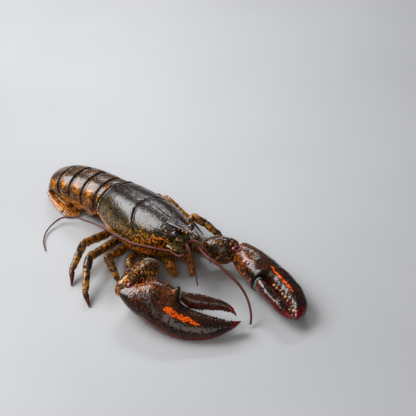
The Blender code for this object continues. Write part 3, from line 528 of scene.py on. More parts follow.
SIDES = (("r", -1), ("l", 1))
FEELER_PATHS = {
    "r": mm([61.4, -8.2, 29.4], [60.2, -11.6, 28.8], [54.5, -12.3, 28.3], [49.7, -11.8, 27.4],
            [42.4, -14.8, 26.0], [34.8, -19.8, 26.0], [27.9, -23.9, 25.6], [19.1, -27.3, 24.0],
            [7.2, -28.3, 21.5], [-5.9, -29.1, 19.5], [-24, -28.6, 15.2], [-37, -29.6, 12.8],
            [-47, -30.5, 10], [-58.5, -32.2, 7.4], [-66.7, -36.7, 5.4], [-69.3, -41.6, 4.4],
            [-68.6, -49, 3.2], [-63.8, -59.2, 2.1], [-53.8, -68.6, 1.4], [-43.2, -73.4, 0.9]),
    "l": mm([62.6, 5.4, 31.4], [70.8, 3.6, 32.0], [78.8, 2.4, 32.5], [84.7, 3.8, 31.5], [92.4, 5.6, 29.0],
            [101.6, 7.3, 25.5], [110.7, 9.0, 21.0], [118.3, 8.9, 16.0], [125.1, 6.9, 11.5],
            [129.6, 4.8, 6.5], [134.0, 0.8, 2.0])}
FEELER_GIRTH = {"r": (1.5, 1.25, 1.0, 0.8, 0.65, 0.5), "l": (1.5, 1.25, 1.1, 1.0, 0.9)}
FEELER_RING = 0.0009
RINGS_PER_FEELER_RING = 5
PEDUNCLES = {"r": mm([53.6, -5.6, 29.4], [56.8, -6.6, 29.6], [59.4, -7.4, 29.8]),
             "l": mm([53.6, 5.8, 29.4], [58.2, 6.4, 30.6], [61.8, 5.8, 31.2])}
FEELER_SCALE = mm([46.9, 12.4, 33.1], [59.6, 9.4, 33.4])
SHORT_FEELERS = {
    "r": mm([54.5, -2, 32.5], [58.5, -2.6, 34.2], [63, -3.8, 32.4], [67, -4.6, 26], [71.5, -5.0, 17],
            [76, -5.6, 5.6]),
    "l": mm([54.5, 2, 32.7], [57.7, 2, 36.5], [61.5, 2.2, 38.8], [66, 3.4, 38.6], [70.5, 4.8, 35.5],
            [74.5, 5.6, 30.5], [78, 5.8, 24.5])}


def lengths(points):
    """Distances from each point to the next."""
    return np.linalg.norm(np.diff(points, axis=0), axis=1)


def route(points, count):
    """Points of a smooth curve through the given ones, whose way at each of them is the mean of the ways on
    either side, with how far along each is, 0 to 1."""
    h = lengths(points)
    line = np.diff(points, axis=0) / h[:, None]
    mean = (line[:-1] * h[1:, None] + line[1:] * h[:-1, None]) / (h[:-1] + h[1:])[:, None]
    way = np.concatenate([line[:1], mean, line[-1:]])
    reach = np.concatenate([[0], np.cumsum(h)])
    at = np.linspace(0, reach[-1], count)
    i = np.clip(np.searchsorted(reach, at) - 1, 0, len(h) - 1)
    t = ((at - reach[i]) / h[i])[:, None]
    between = points[i] * (1 + 2 * t) * (1 - t) ** 2 + points[i + 1] * t**2 * (3 - 2 * t)
    return (between + h[i][:, None] * (way[i] * t * (1 - t) ** 2 - way[i + 1] * t**2 * (1 - t)),
            at / reach[-1])


def tube(points, girth, count, around=14, ring=None, **marks):
    """Round rings carried along a curve, as wide as girth says, with fine rings pressed in every so often."""
    path, part = route(np.asarray(points, float), count)
    side, over = square_to(unit(np.gradient(path, axis=0)))
    radius = np.interp(part, np.linspace(0, 1, len(girth)), girth)
    if ring:
        radius = radius * (1 + 0.05 * np.cos(2 * np.pi * part * lengths(path).sum() / ring))
    rings = path[:, None] + radius[:, None, None] * circle(side[:, None], over[:, None], around)
    return patch(rings, 0.0002, **marks)


FEELER_FINISH = shell_finish(
    "feeler", [(0.0, 0.22, 0.065, 0.040), (0.5, 0.125, 0.026, 0.016), (1.0, 0.050, 0.010, 0.008)],
    warm=(0.30, 0.10, 0.05), rim=(0.3, 0.1, 0.06), fleck=(0.16, 0.04, 0.03), fine=2.0, gloss=0.36)
PEDUNCLE_FINISH = shell_finish(
    "feeler root shell", [(0.0, 0.36, 0.20, 0.035), (0.5, 0.13, 0.085, 0.024), (1.0, 0.03, 0.02, 0.01)],
    warm=(0.6, 0.30, 0.04), rim=(0.62, 0.34, 0.04), fleck=(0.6, 0.34, 0.05), fine=1.2)
for label, hand in SIDES:
    path = FEELER_PATHS[label]
    count = int(lengths(path).sum() / FEELER_RING * RINGS_PER_FEELER_RING)
    plate(f"long_feeler_{label}", [
        tube(path, mm(*FEELER_GIRTH[label]), count, 12, FEELER_RING, tone=0.5, spots=0.0),
    ], FEELER_FINISH, "feeler", f"antenna_{label}", crease=80)
    stem = SHORT_FEELERS[label]
    fork = stem[-4:] + np.linspace(0, 1, 4)[:, None] ** 0.7 * MM * np.array([-1.6, 2.4 * hand, 1.4])
    plate(f"short_feeler_{label}", [
        tube(stem, mm(1.5, 1.2, 0.85, 0.6, 0.4), 170, 12, FEELER_RING, tone=0.35, spots=0.0),
        tube(fork[:3], mm(0.65, 0.5, 0.35), 90, 10, FEELER_RING, tone=0.4, spots=0.0),
    ], FEELER_FINISH, "feeler", f"antennule_{label}", crease=80)
    joints = PEDUNCLES[label]
    middle = joints[0] * 0.35 + joints[1] * 0.65
    stub = joints[0] + 0.0002 * unit(joints[1] - joints[0])
    scale_root, scale_tip = mirrored(FEELER_SCALE, hand)
    scale_way = unit(scale_tip - scale_root)
    scale_reach = np.linalg.norm(scale_tip - scale_root)
    run, angle = net(np.linspace(0, 1, 50), 40)
    wide = smooth(run, [[0, 0.0030], [0.45, 0.0034], [0.8, 0.0018], [1, 0.0002]])
    deep = smooth(run, [[0, 0.0012], [0.5, 0.0013], [1, 0.0003]])
    across = unit(np.cross(scale_way, UP))
    scale = scale_root + scale_reach * run[..., None] * scale_way
    scale = scale + (wide * np.cos(angle))[..., None] * across
    scale = scale + (deep * np.sin(angle) - 0.0012 * run**2)[..., None] * UP
    plate(f"feeler_root_{label}", [
        tube([stub, middle], mm(3.3, 3.6, 3.3, 3.4, 3.0), 40, 36, tone=0.65, spots=0.9, warm=0.1),
        tube([middle, joints[1]], mm(2.9, 3.2, 2.9, 2.9, 2.6), 34, 32, tone=0.55, spots=0.9, warm=0.2),
        tube([joints[1], joints[2]], mm(2.3, 2.6, 2.2, 2.2, 1.8), 34, 28, tone=0.5, spots=0.8, warm=0.25),
        patch(scale, 0.0001, 0.62, 0.6, 0.1, 0.8 * step(np.abs(np.cos(angle)), 0.75, 1)),
    ], PEDUNCLE_FINISH, "shell", f"antenna_base_{label}")

# Limbs. Each segment is a hard tube, cut at both ends by the plane of its joint, with a ring of soft
# skin showing where it bends. Walking legs are orange-brown blotched dark, their points red-brown.

LEGS = {
    "r": {
        2: mm([11, -21, 5.6], [26, -37, 14], [33, -39.5, 10], [41, -36, 4], [45.5, -29, 0.5]),
        3: mm([0, -22, 5.2], [18.4, -52.2, 21], [24.6, -52.8, 16.5], [32.2, -52.6, 8.5], [38.5, -51, 0.5]),
        4: mm([-13, -22, 5.0], [7.4, -62.1, 20], [13.3, -69.3, 14], [28.3, -80.9, 6], [39.4, -84.5, 0.5]),
        5: mm([-26, -21, 5.0], [-10.3, -56.1, 20], [-9.1, -61.2, 14], [-1.4, -74, 7], [8.6, -81.3, 0.5])},
    "l": {
        2: mm([11, 21, 5.6], [13, 39, 17], [24, 43, 14.5], [38, 46.5, 9], [47, 50, 0.5]),
        3: mm([0, 22, 5.2], [-19, 36.5, 16], [-9, 38, 13], [9, 41, 8], [20, 43.5, 0.5]),
        4: mm([-13, 22, 5.0], [-27, 35, 9.0], [-20, 41, 7.5], [-7, 45, 4], [2, 47, 0.5]),
        5: mm([-26, 21, 5.0], [-41, 34, 10.5], [-37, 40, 8], [-26, 45, 4], [-17, 47, 0.5])}}
LEG_SCALE = {2: 1.05, 3: 1.12, 4: 1.12, 5: 1.10}
THIGH = np.array([[0, 2.2, 2.5], [0.08, 2.8, 3.1], [0.3, 3.1, 3.6], [0.75, 2.8, 3.3], [0.93, 3.05, 3.45],
                  [1, 2.4, 2.7]])
WRIST = np.array([[0, 2.3, 2.5], [0.15, 2.95, 3.1], [0.6, 3.1, 3.2], [0.9, 3.0, 3.1], [1, 2.4, 2.6]])
SHIN = np.array([[0, 2.3, 2.6], [0.1, 2.75, 2.9], [0.5, 2.55, 2.7], [0.9, 2.25, 2.4], [1, 1.85, 2.05]])
POINT = np.array([[0, 1.7, 1.9], [0.12, 2.0, 2.15], [0.5, 1.4, 1.5], [0.9, 0.55, 0.55], [1, 0.16, 0.16]])
FLOOR_CLEARANCE = 0.00002


def joint_planes(joints):
    """Normals of the planes halfway between the directions of the segments that meet."""
    ways = unit(np.diff(joints, axis=0))
    return [ways[0], *unit(ways[:-1] + ways[1:]), ways[-1]]


def segment(start, end, planes, side, profile, scale=1.0, rings=40, around=36, square=1.0, gaps=(1, 1),
            arch=0.0):
    """Rings from start to end. Each long line of the surface runs from the first joint's plane to the last
    one's. The profile's rows give, at a fraction of the way, half width and half thickness in millimetres,
    and the middle is lifted by arch."""
    way = unit(end - start)
    wide = unit(side - (side @ way) * way)
    thick = np.cross(way, wide)
    part, angle = net(np.linspace(0, 1, rings), around)
    half, deep = (MM * scale * smooth(part, np.asarray(profile, float)[:, [0, k]]) for k in (1, 2))
    c, s = squarish(angle, square)
    offset = (half * c)[..., None] * wide + (deep * s)[..., None] * thick
    low = (gaps[0] * GAP - offset @ planes[0]) / (way @ planes[0])
    high = np.linalg.norm(end - start) + (-gaps[1] * GAP - offset @ planes[1]) / (way @ planes[1])
    lift = unit(UP - (UP @ way) * way)
    grid = start + offset + (low + (high - low) * part)[..., None] * way
    return grid + (arch * np.sin(np.pi * part))[..., None] * lift, part, unit(offset)


def on_floor(grid):
    """The grid, with what lies under the floor lifted to just over it."""
    grid[..., 2] = np.maximum(grid[..., 2], FLOOR_CLEARANCE)
    return grid


def grounded(made):
    """A patch set on the floor in the same way."""
    return on_floor(made[0]), made[1]


def leg_segment(start, end, planes, side, profile, scale, dark, warm=0.0, gaps=(1, 1), rings=36):
    """One leg segment with its blotches: darker above and in clouds along it, paler at its ends."""
    grid, part, out = segment(start, end, planes, side, profile, scale, rings, 32, gaps=gaps)
    grid = on_floor(raised(grid, 0.00030 * cloud(grid, 0.0042, 21) + 0.00022 * grains(grid, 0.0021, 22)))
    tone = (0.28 + 0.14 * out[..., 2] + 0.48 * cloud(grid, 0.0042, 23) + dark - 0.2 * bell(part, 0.06)
            - 0.2 * bell(part - 1, 0.05))
    return patch(grid, 0.0004, tone, 0.55, warm)


def soft_ring(middle, way, radius, thick=0.0011):
    """The soft skin of a joint: a short round that fills the bend between two hard tubes."""
    way = unit(way)
    return ball(middle, [thick, radius, radius], (way, *square_to(way)), 12, 24, tone=0.2, spots=0.0)


LEG_FINISH = shell_finish(
    "leg shell", [(0.0, 0.50, 0.21, 0.024), (0.35, 0.25, 0.115, 0.016), (0.65, 0.080, 0.042, 0.012),
                  (1.0, 0.018, 0.010, 0.007)],
    warm=(0.085, 0.014, 0.008), rim=(0.45, 0.2, 0.05), fleck=(0.56, 0.20, 0.02), fine=1.0, gloss=0.24)
SKIN_FINISH = shell_finish(
    "joint skin", [(0.0, 0.24, 0.33, 0.28), (0.5, 0.15, 0.21, 0.17), (1.0, 0.06, 0.08, 0.07)],
    warm=(0.5, 0.3, 0.15), rim=(0.5, 0.3, 0.15), fine=1.5, gloss=0.35)
joint_skins = []
for label, hand in SIDES:
    for pair, joints in LEGS[label].items():
        size = LEG_SCALE[pair]
        planes = joint_planes(joints)
        outer = unit(joints[1] - joints[0])
        side = unit(np.cross(outer, UP))
        thigh = leg_segment(joints[0] + 0.0003 * outer, joints[1], (outer, planes[1]), side, THIGH, size,
                            0.05, rings=60)
        plate(f"leg_{pair}_{label}_thigh", [thigh], LEG_FINISH, "leg_shell", f"leg{pair}_{label}_upper")
        lower = [leg_segment(joints[1], joints[2], planes[1:3], side, WRIST, size, 0.12, gaps=(1, 0.6)),
                 leg_segment(joints[2], joints[3], planes[2:4], side, SHIN, size, 0.05, gaps=(0.6, 0.6),
                             rings=50)]
        if pair > 3:
            lower.append(leg_segment(joints[3], joints[4], planes[3:5], side, POINT, size, 0.25, 0.9,
                                     gaps=(0.6, 0)))
        else:
            way = unit(joints[4] - joints[3])
            across = unit(np.cross(way, side))
            for turn, reach in ((1, 0.0), (-1, -0.001)):
                root = joints[3] + turn * 0.0009 * size * across
                tip = joints[4] + way * reach + turn * 0.0006 * across
                lower.append(grounded(thorn(root, tip, 0.00105 * size, around=20, warm=0.9, tone=0.6,
                                            blunt=0.25)))
        plate(f"leg_{pair}_{label}_shin", lower, LEG_FINISH, "leg_shell", f"leg{pair}_{label}_lower")
        joint_skins += [soft_ring(joints[1], planes[1], 0.0023 * size),
                        soft_ring(joints[2], planes[2], 0.0021 * size, 0.0008),
                        soft_ring(joints[3], planes[3], 0.0015 * size, 0.0006)]

# Breast. The underside between the legs, flat below where the animal rests, with a stout ringed
# root for each leg along its flanks. Pale orange-brown.

BREAST_LUMPS = mm(-26, -13, 0, 11)


def breast_patch():
    """Rings across the breast, flat below, bulging out at each leg's root and drawn in between them."""
    x = np.linspace(-0.036, 0.0345, 150)
    loop = full_turn(96)
    near = bell(x[:, None] - BREAST_LUMPS, 0.0036).max(axis=1)
    ends = np.clip(np.minimum(x + 0.039, 0.038 - x) / 0.008, 0.25, 1)
    wide = np.where(x > 0.0145, smooth(x, mm([14.5, 12.0], [17, 8.4], [30, 8.4], [35, 7.0])),
                    (0.0118 + 0.0085 * near) * ends**0.5)
    top = smooth(x, np.stack([SHIELD_X, SHIELD_EDGE], axis=1)) - 0.0003
    floor = 0.0014 * (1 - np.clip((0.032 - np.abs(x)) / 0.005, 0, 1))
    c, s = power(np.cos(loop), 0.55)[None, :], power(np.sin(loop), 0.65)[None, :]
    middle = ((top + floor) / 2)[:, None]
    z = middle + ((top - floor) / 2)[:, None] * s
    belly = 1 - 0.28 * step(-s, 0.2, 1.0) * near[:, None] - 0.10 * step(-s, 0.2, 1.0)
    grid = np.stack([np.repeat(x[:, None], len(loop), axis=1), wide[:, None] * c * belly, z], axis=-1)
    grid = raised(grid, 0.0003 * cloud(grid, 0.003, 31) * (s > -0.7))
    return patch(on_floor(grid), 0.0008, 0.35 - 0.25 * near[:, None] + 0.2 * cloud(grid, 0.004, 32), 0.3,
                 0.5 * near[:, None])


UNDER_FINISH = shell_finish(
    "underside shell", [(0.0, 0.42, 0.24, 0.09), (0.5, 0.27, 0.13, 0.04), (1.0, 0.10, 0.055, 0.022)],
    warm=(0.45, 0.17, 0.03), rim=(0.5, 0.25, 0.08), gloss=0.32)
patches = [breast_patch()]
for label, hand in SIDES:
    for joints in LEGS[label].values():
        way = unit(joints[1] - joints[0])
        inner = joints[0] * [1, 0.62, 1] + mm(0, 0, 0.3)
        stub = tube([inner, joints[0] - 0.0002 * way], mm(3.4, 3.9, 3.3, 3.6, 3.1, 3.3, 2.7), 40, 32,
                    tone=0.35, spots=0.4, warm=0.45)
        patches.append(grounded(stub))
plate("breast", patches, UNDER_FINISH, "underside", "thorax")

# Mouth legs. A pair of jointed feeding legs folded forward under the head, rust-orange, with four
# rows of stiff bristles along each.

MOUTH_LEGS = {"r": mm([36.6, -6.2, 8.5], [44.5, -10.0, 11.0], [47.5, -10.3, 6.8], [50.5, -7.5, 3.2]),
              "l": mm([36.6, 6.2, 8.5], [46.0, 7.6, 10.8], [52.5, 6.0, 6.8], [57.0, 2.8, 2.2])}
MOUTH_WIDTHS = ([[0, 3.0, 3.6], [0.5, 3.6, 4.2], [1, 3.1, 3.7]],
                [[0, 3.0, 3.6], [0.5, 3.4, 3.7], [1, 2.5, 2.7]],
                [[0, 2.4, 2.6], [0.5, 2.1, 2.3], [1, 0.6, 0.7]])
MOUTH_HAIRS = 110


def bristles(name, roots, ways, length, girth, seed, spread=0.15):
    """Stiff hairs: one three-sided cone in three steps for each root, spread a little at random."""
    drawn = np.random.default_rng(seed)
    ways = unit(ways + spread * drawn.normal(size=ways.shape))
    tall = np.broadcast_to(length, len(roots)) * drawn.uniform(0.75, 1.1, len(roots))
    side = unit(np.cross(ways, UP + 0.01))
    over = np.cross(ways, side)
    part = np.array([-0.1, 0.35, 0.7, 1.0])
    width = girth * np.array([1.0, 0.75, 0.45, 0.08])
    turn = 2 * np.pi * np.arange(3) / 3
    ring = np.cos(turn)[:, None, None] * side + np.sin(turn)[:, None, None] * over
    spine = roots + part[:, None, None] * tall[:, None] * ways
    grid = np.maximum(spine[:, None] + width[:, None, None, None] * ring, [-1, -1, 0.00005])
    points = grid.transpose(2, 0, 1, 3).reshape(-1, 3)
    quads = [[3 * i + j, 3 * i + (j + 1) % 3, 3 * i + 3 + (j + 1) % 3, 3 * i + 3 + j] for i in range(3)
             for j in range(3)]
    faces = np.arange(len(roots))[:, None, None] * 12 + np.array(quads)
    ends = np.arange(len(roots))[:, None, None] * 12 + np.array([[2, 1, 0], [9, 10, 11]])
    mesh = bpy.data.meshes.new(name)
    mesh.from_pydata(points, [], faces.reshape(-1, 4).tolist() + ends.reshape(-1, 3).tolist())
    piece(name, mesh, hair_finish)


hair_finish, hair_shader, hair_place = begin("bristle", Roughness=0.45)
connect(hair_shader, Base_Color=hair_place.noise(500).ramp([(0.3, 0.24, 0.09, 0.02),
                                                            (0.7, 0.55, 0.25, 0.05)]))
MOUTH_FINISH = shell_finish(
    "mouth leg shell", [(0.0, 0.62, 0.24, 0.024), (0.5, 0.36, 0.13, 0.016), (1.0, 0.08, 0.04, 0.012)],
    warm=(0.62, 0.18, 0.012), rim=(0.5, 0.25, 0.05), fleck=(0.70, 0.30, 0.03), fine=1.2, gloss=0.28)
for label, hand in SIDES:
    joints = MOUTH_LEGS[label]
    planes = joint_planes(joints)
    patches = []
    for i, width in enumerate(MOUTH_WIDTHS):
        grid, part, out = segment(joints[i], joints[i + 1], planes[i:i + 2], LEFT, width, gaps=(0.6, 0.6))
        grid = raised(grid, 0.00025 * cloud(grid, 0.0025, 35))
        patches.append(patch(grid, 0.0005, 0.35 + 0.3 * cloud(grid, 0.004, 36), 0.5,
                             0.3 * bell(part - 0.5, 0.3)))
    plate(f"mouth_leg_{label}", patches, MOUTH_FINISH, "underside", f"maxilliped_{label}")
    rows = np.linspace(0, 1, MOUTH_HAIRS)
    comb = route(joints, MOUTH_HAIRS)[0]
    inner = np.tile([0.0, -hand, -0.5], (MOUTH_HAIRS, 1))
    reach = MM * smooth(rows, [[0, 2.9], [0.6, 2.6], [1, 0.8]])[:, None]
    ways = [unit(inner + lean) for lean in ([0.5, 0, 0], [0.3, hand * 0.9, -0.5], [0.4, hand * 1.9, -0.4],
                                            [0.4, hand * 1.2, 0.9])]
    roots = np.concatenate([comb + way * reach for way in ways])
    bristles(f"mouth_bristles_{label}", roots, np.concatenate(ways), 0.0040, 0.00016,
             41 + hand, spread=0.4)
    joint_skins += [soft_ring(joints[1], planes[1], 0.0029), soft_ring(joints[2], planes[2], 0.0023)]

# Great arms. Three stout segments a side, rust-orange freckled black, dark above, with orange-red
# spines along their inner edges and grey-green skin at each bend.

ARMS = {"r": mm([19.5, -15, 4.8], [30.5, -22, 6.8], [44.9, -30.0, 18.4], [60.4, -61.2, 18.8]),
        "l": mm([19.5, 15, 4.4], [30, 21.6, 6.8], [49.1, 23.4, 16.0], [73.0, 36.2, 16.4])}
CLAW_TIPS = {"r": mm(134.0, -8.8, 11.0), "l": mm(156.3, 25.7, 9.9)}
CLAW_ROLLS = {"r": np.radians(27), "l": np.radians(10)}
ARM_PROFILES = {
    "ischium": np.array([[0, 3.9, 3.9], [0.12, 4.5, 4.6], [0.5, 4.9, 5.2], [0.9, 4.6, 5.1],
                         [1, 4.0, 4.5]]),
    "merus": np.array([[0, 4.0, 4.5], [0.1, 4.8, 5.3], [0.3, 5.6, 6.0], [0.8, 6.4, 7.4], [0.94, 6.7, 7.5],
                       [1, 5.4, 6.2]]),
    "carpus": np.array([[0, 5.0, 5.3], [0.07, 7.0, 7.4], [0.16, 9.0, 9.3], [0.4, 10.8, 11.3],
                        [0.65, 11.1, 11.5], [0.86, 9.4, 9.6], [0.95, 7.2, 7.0], [1, 5.2, 4.8]])}
# How far along its segment each spine stands, and its lean inwards, on the carpus in degrees over the level.
ARM_SPINES = ((0.28, 0.35), (0.48, 1.0), (0.66, 0.2))
CARPUS_SPINES = ((0.30, 60), (0.52, 75), (0.74, 62), (0.36, 105), (0.60, 115), (0.84, 95), (0.80, 30),
                 (0.45, 20))
# Length and radius of a spine of each kind.
ARM_SPINE, CARPUS_SPINE = (0.0034, 0.0013), (0.0014, 0.0009)
ARM_FINISH = shell_finish(
    "arm shell", [(0.0, 0.52, 0.17, 0.020), (0.35, 0.27, 0.098, 0.016), (0.62, 0.09, 0.040, 0.013),
                  (1.0, 0.018, 0.011, 0.009)],
    warm=(0.40, 0.060, 0.016), rim=(0.5, 0.2, 0.05), fleck=(0.85, 0.37, 0.04), fine=1.0)


def arm_patch(joints, planes, i, name):
    """One arm segment, grained all over, with low warts on its upper side; pale and warm at its ends."""
    grid, part, out = segment(joints[i], joints[i + 1], planes[i:i + 2], UP, ARM_PROFILES[name], 1.0, 110,
                              120)
    warts = grains(grid, 0.0040, 51, 0.12, 0.30) * (name != "ischium")
    grid = raised(grid, 0.00045 * warts + 0.00014 * grains(grid, 0.0016, 52)
                  + 0.0003 * cloud(grid, 0.006, 53))
    tone = (0.30 + 0.16 * step(out[..., 2], 0.1, 0.9) + 0.34 * cloud(grid, 0.007, 54)
            - 0.2 * bell(part, 0.08))
    tone = tone + 0.26 * (name == "carpus") * (joints[0, 1] > 0)
    return patch(grid, 0.0008, tone, 0.9, 0.55 * step(warts, 0.3, 0.8) * (part > 0.15))


for label, hand in SIDES:
    joints = ARMS[label]
    planes = joint_planes(np.concatenate([joints, [CLAW_TIPS[label]]]))
    for i, name in enumerate(ARM_PROFILES):
        patches = [arm_patch(joints, planes, i, name)]
        way = unit(joints[i + 1] - joints[i])
        length = np.linalg.norm(joints[i + 1] - joints[i])
        inward = unit(np.cross(way, UP)) * hand
        upward = unit(UP - (UP @ way) * way)
        reach = MM * ARM_PROFILES[name][:, 2].max()
        if name != "ischium":
            for at, turn in ARM_SPINES:
                out = unit(inward * -turn + UP * (1 - turn) + 0.4 * way)
                foot = joints[i] + at * length * way + out * reach * 0.86
                patches.append(thorn(foot, foot + out * ARM_SPINE[0], ARM_SPINE[1], around=18, tone=0.4,
                                     warm=0.8))
        if name == "carpus":
            for at, turn in CARPUS_SPINES:
                lean = np.radians(turn)
                out = upward * np.sin(lean) + inward * -np.cos(lean)
                foot = (joints[i] + at * length * way + out * MM * smooth(at, ARM_PROFILES[name][:, [0, 2]])
                        * 0.97)
                tip = foot + CARPUS_SPINE[0] * unit(out + 0.3 * way)
                patches.append(thorn(foot, tip, CARPUS_SPINE[1], tone=0.4, warm=0.7))
        plate(f"arm_{name}_{label}", patches, ARM_FINISH, "claw_shell", f"arm_{label}_{name}")
    joint_skins += [soft_ring(joints[k], planes[k], size * MM, thick * MM)
                    for k, size, thick in ((1, 4.2, 1.4), (2, 7.0, 2.2), (3, 5.8, 1.4))]

# Claws. A cutter on the right with a saw edge, a crusher on the left with rounded knobs. Near black and
# red-brown, orange about the wrist, a bright orange streak down the fixed finger and crimson tips.

CUTTER = {
    "outer": mm([0, -5.2], [6, -10.5], [12.5, -16], [28.7, -23], [46.5, -26], [64, -23.2], [77, -16.4],
                [86.5, -7.4], [90.6, -1.6]),
    "inner": mm([0, 5.0], [6, 8.4], [12, 11.4], [19, 13.8], [26, 13.6], [34, 11.6], [39, 11.2],
                [40.2, 3.2], [42, 1.4], [50, -2.0], [60, -3.0], [74, -3.4], [84, -2.6], [90.6, 0.0]),
    "thick": mm([0, 5.4], [8, 8.4], [20, 11.2], [34, 11.4], [44, 9.6], [60, 7.4], [77, 5.2], [87, 2.6],
                [90.6, 0.7]),
    "dactyl_outer": mm([40.8, 10.0], [46, 10.6], [54, 11.9], [68, 11.9], [77, 10.6], [82.5, 7.6],
                       [86, 3.6]),
    "dactyl_inner": mm([40.8, 4.1], [45, 1.9], [50, 0.3], [58, 1.3], [66, 3.2], [74, 4.8], [80, 5.0],
                       [86, 2.8]),
    "dactyl_thick": mm([40.8, 5.6], [46, 6.4], [56, 6.0], [68, 4.9], [79, 3.2], [86, 0.7]),
    "pitch": 0.0028, "tooth": 0.0017, "edge": 0.86,
    "streak": (mm([31, -10.8], [38, -12.0], [46, -12.7], [56, -13.9], [66, -15.8]),
               mm([30, 2.0], [36, 3.4], [46, 3.8], [56, 2.2], [64, 1.2]))}
CRUSHER = {
    "outer": mm([-5, -6], [0, -11.5], [6, -15.5], [23, -20.4], [42, -23.5], [56, -23.7], [66, -22.2],
                [75, -18.4], [81, -12.4], [84.1, -5.0]),
    "inner": mm([-5, 4], [0, 5.6], [12, 7.0], [24, 7.6], [33, 7.8], [36.6, 7.4], [37.8, 0.8], [40, -2.6],
                [48, -4.2], [60, -5.2], [72, -4.8], [80, -2.6], [84.4, -0.6]),
    "thick": mm([-5, 5.2], [0, 8.2], [10, 10.8], [26, 12.0], [40, 11.2], [58, 9.2], [72, 6.6], [80, 4],
                [84.4, 0.9]),
    "dactyl_outer": mm([38.4, 6.6], [44, 7.6], [52, 8.0], [62, 7.8], [71, 6.8], [78, 5.2], [83.6, 2.6]),
    "dactyl_inner": mm([38.4, 1.4], [41, 0.0], [46, -0.9], [54, -1.1], [62, -1.2], [71, -0.8], [78, 0.2],
                       [83.6, 1.2]),
    "dactyl_thick": mm([38.4, 5.0], [44, 5.8], [54, 5.4], [66, 4.6], [77, 3.2], [83.6, 0.8]),
    "pitch": 0.0052, "tooth": 0.0014, "edge": 0.72,
    "streak": (mm([30, -8.2], [40, -8.9], [52, -10.0], [70, -11.0]),
               mm([30, 0.7], [40, 1.3], [60, 1.2], [72, 0.7]))}
# Where the palm's upper spines stand, along the claw and as a part of its half width.
KNUCKLE_SPINES = ((0.006, 0.55), (0.013, 0.8), (0.020, 0.85), (0.028, 0.85))
# The wrist's two bosses: millimetres across, height as a part of the half thickness, and size.
CONDYLES = ((2.6, 0.62, 1.0), (-4.0, 0.66, 0.7))
# The crusher's two rows of knobs: edge, thickness, side, first place and spacing.
KNOB_ROWS = (("inner", "thick", 1, 0.048, 0.0037), ("dactyl_inner", "dactyl_thick", -1, 0.055, 0.0052))
CUTTER_HAIRS = 90


def claw_frame(root, tip, roll, hand):
    """The claw's way forward, its way across to the moving finger, lifted by the roll, and its thick way."""
    along = unit(tip - root)
    level = unit(np.cross(UP, along)) * -hand
    lift = unit(np.cross(along, level))
    lift = lift if lift[2] > 0 else -lift
    across = level * np.cos(roll) + lift * np.sin(roll)
    return along, across, np.cross(along, across)


def claw_grid(root, axes, low_edge, high_edge, thick, stations, around, shear=None):
    """Rings across the claw between its two outlines, squarish rounds, sheared at the wrist to the joint's
    plane. Also gives how far along each point is, its side from -1 to 1, and how far it faces up."""
    along, across, over = axes
    u, angle = net(stations, around)
    low, high, half = (smooth(u, curve) for curve in (low_edge, high_edge, thick))
    c, s = squarish(angle, 0.86)
    offset = ((low + high) / 2 + (high - low) / 2 * c)[..., None] * across + (half * s)[..., None] * over
    push = 0.0
    if shear is not None:
        fade = np.clip(1 - u / 0.018, 0, 1) ** 1.5
        cut = -(offset @ shear) / (along @ shear)
        push = np.maximum(fade * cut, cut - u)
    return root + offset + (u + push)[..., None] * along, u, c, s * np.sign(over[2])


def saw(u, first, last, pitch, seed):
    """Heights in 0..1 of a row of rounded teeth from first to last, uneven, the middle ones largest."""
    place = (u - first) / pitch
    number = np.floor(place)
    uneven = 0.45 + 0.55 * chances(np.stack([number, 0 * number, 0 * number], axis=-1), seed)[..., 0]
    tooth = np.clip(1 - np.abs(2 * (place - number) - 1) ** 1.2, 0, 1)
    span = np.clip((u - first) / (last - first), 0, 1)
    return tooth * uneven * np.sin(np.pi * span) ** 0.4 * (u > first) * (u < last)


CLAW_FINISH = shell_finish(
    "claw shell", [(0.0, 0.50, 0.15, 0.020), (0.30, 0.23, 0.072, 0.014), (0.58, 0.075, 0.026, 0.010),
                   (1.0, 0.013, 0.006, 0.005)],
    warm=(0.72, 0.11, 0.004), rim=(0.17, 0.005, 0.007), fleck=(0.34, 0.09, 0.014), fine=1.1, gloss=0.14)
TOOTH_FINISH = shell_finish(
    "tooth", [(0.0, 0.75, 0.55, 0.30), (1.0, 0.55, 0.24, 0.10)],
    warm=(0.6, 0.3, 0.1), rim=(0.35, 0.015, 0.015), fleck=(0.7, 0.5, 0.3), gloss=0.18)


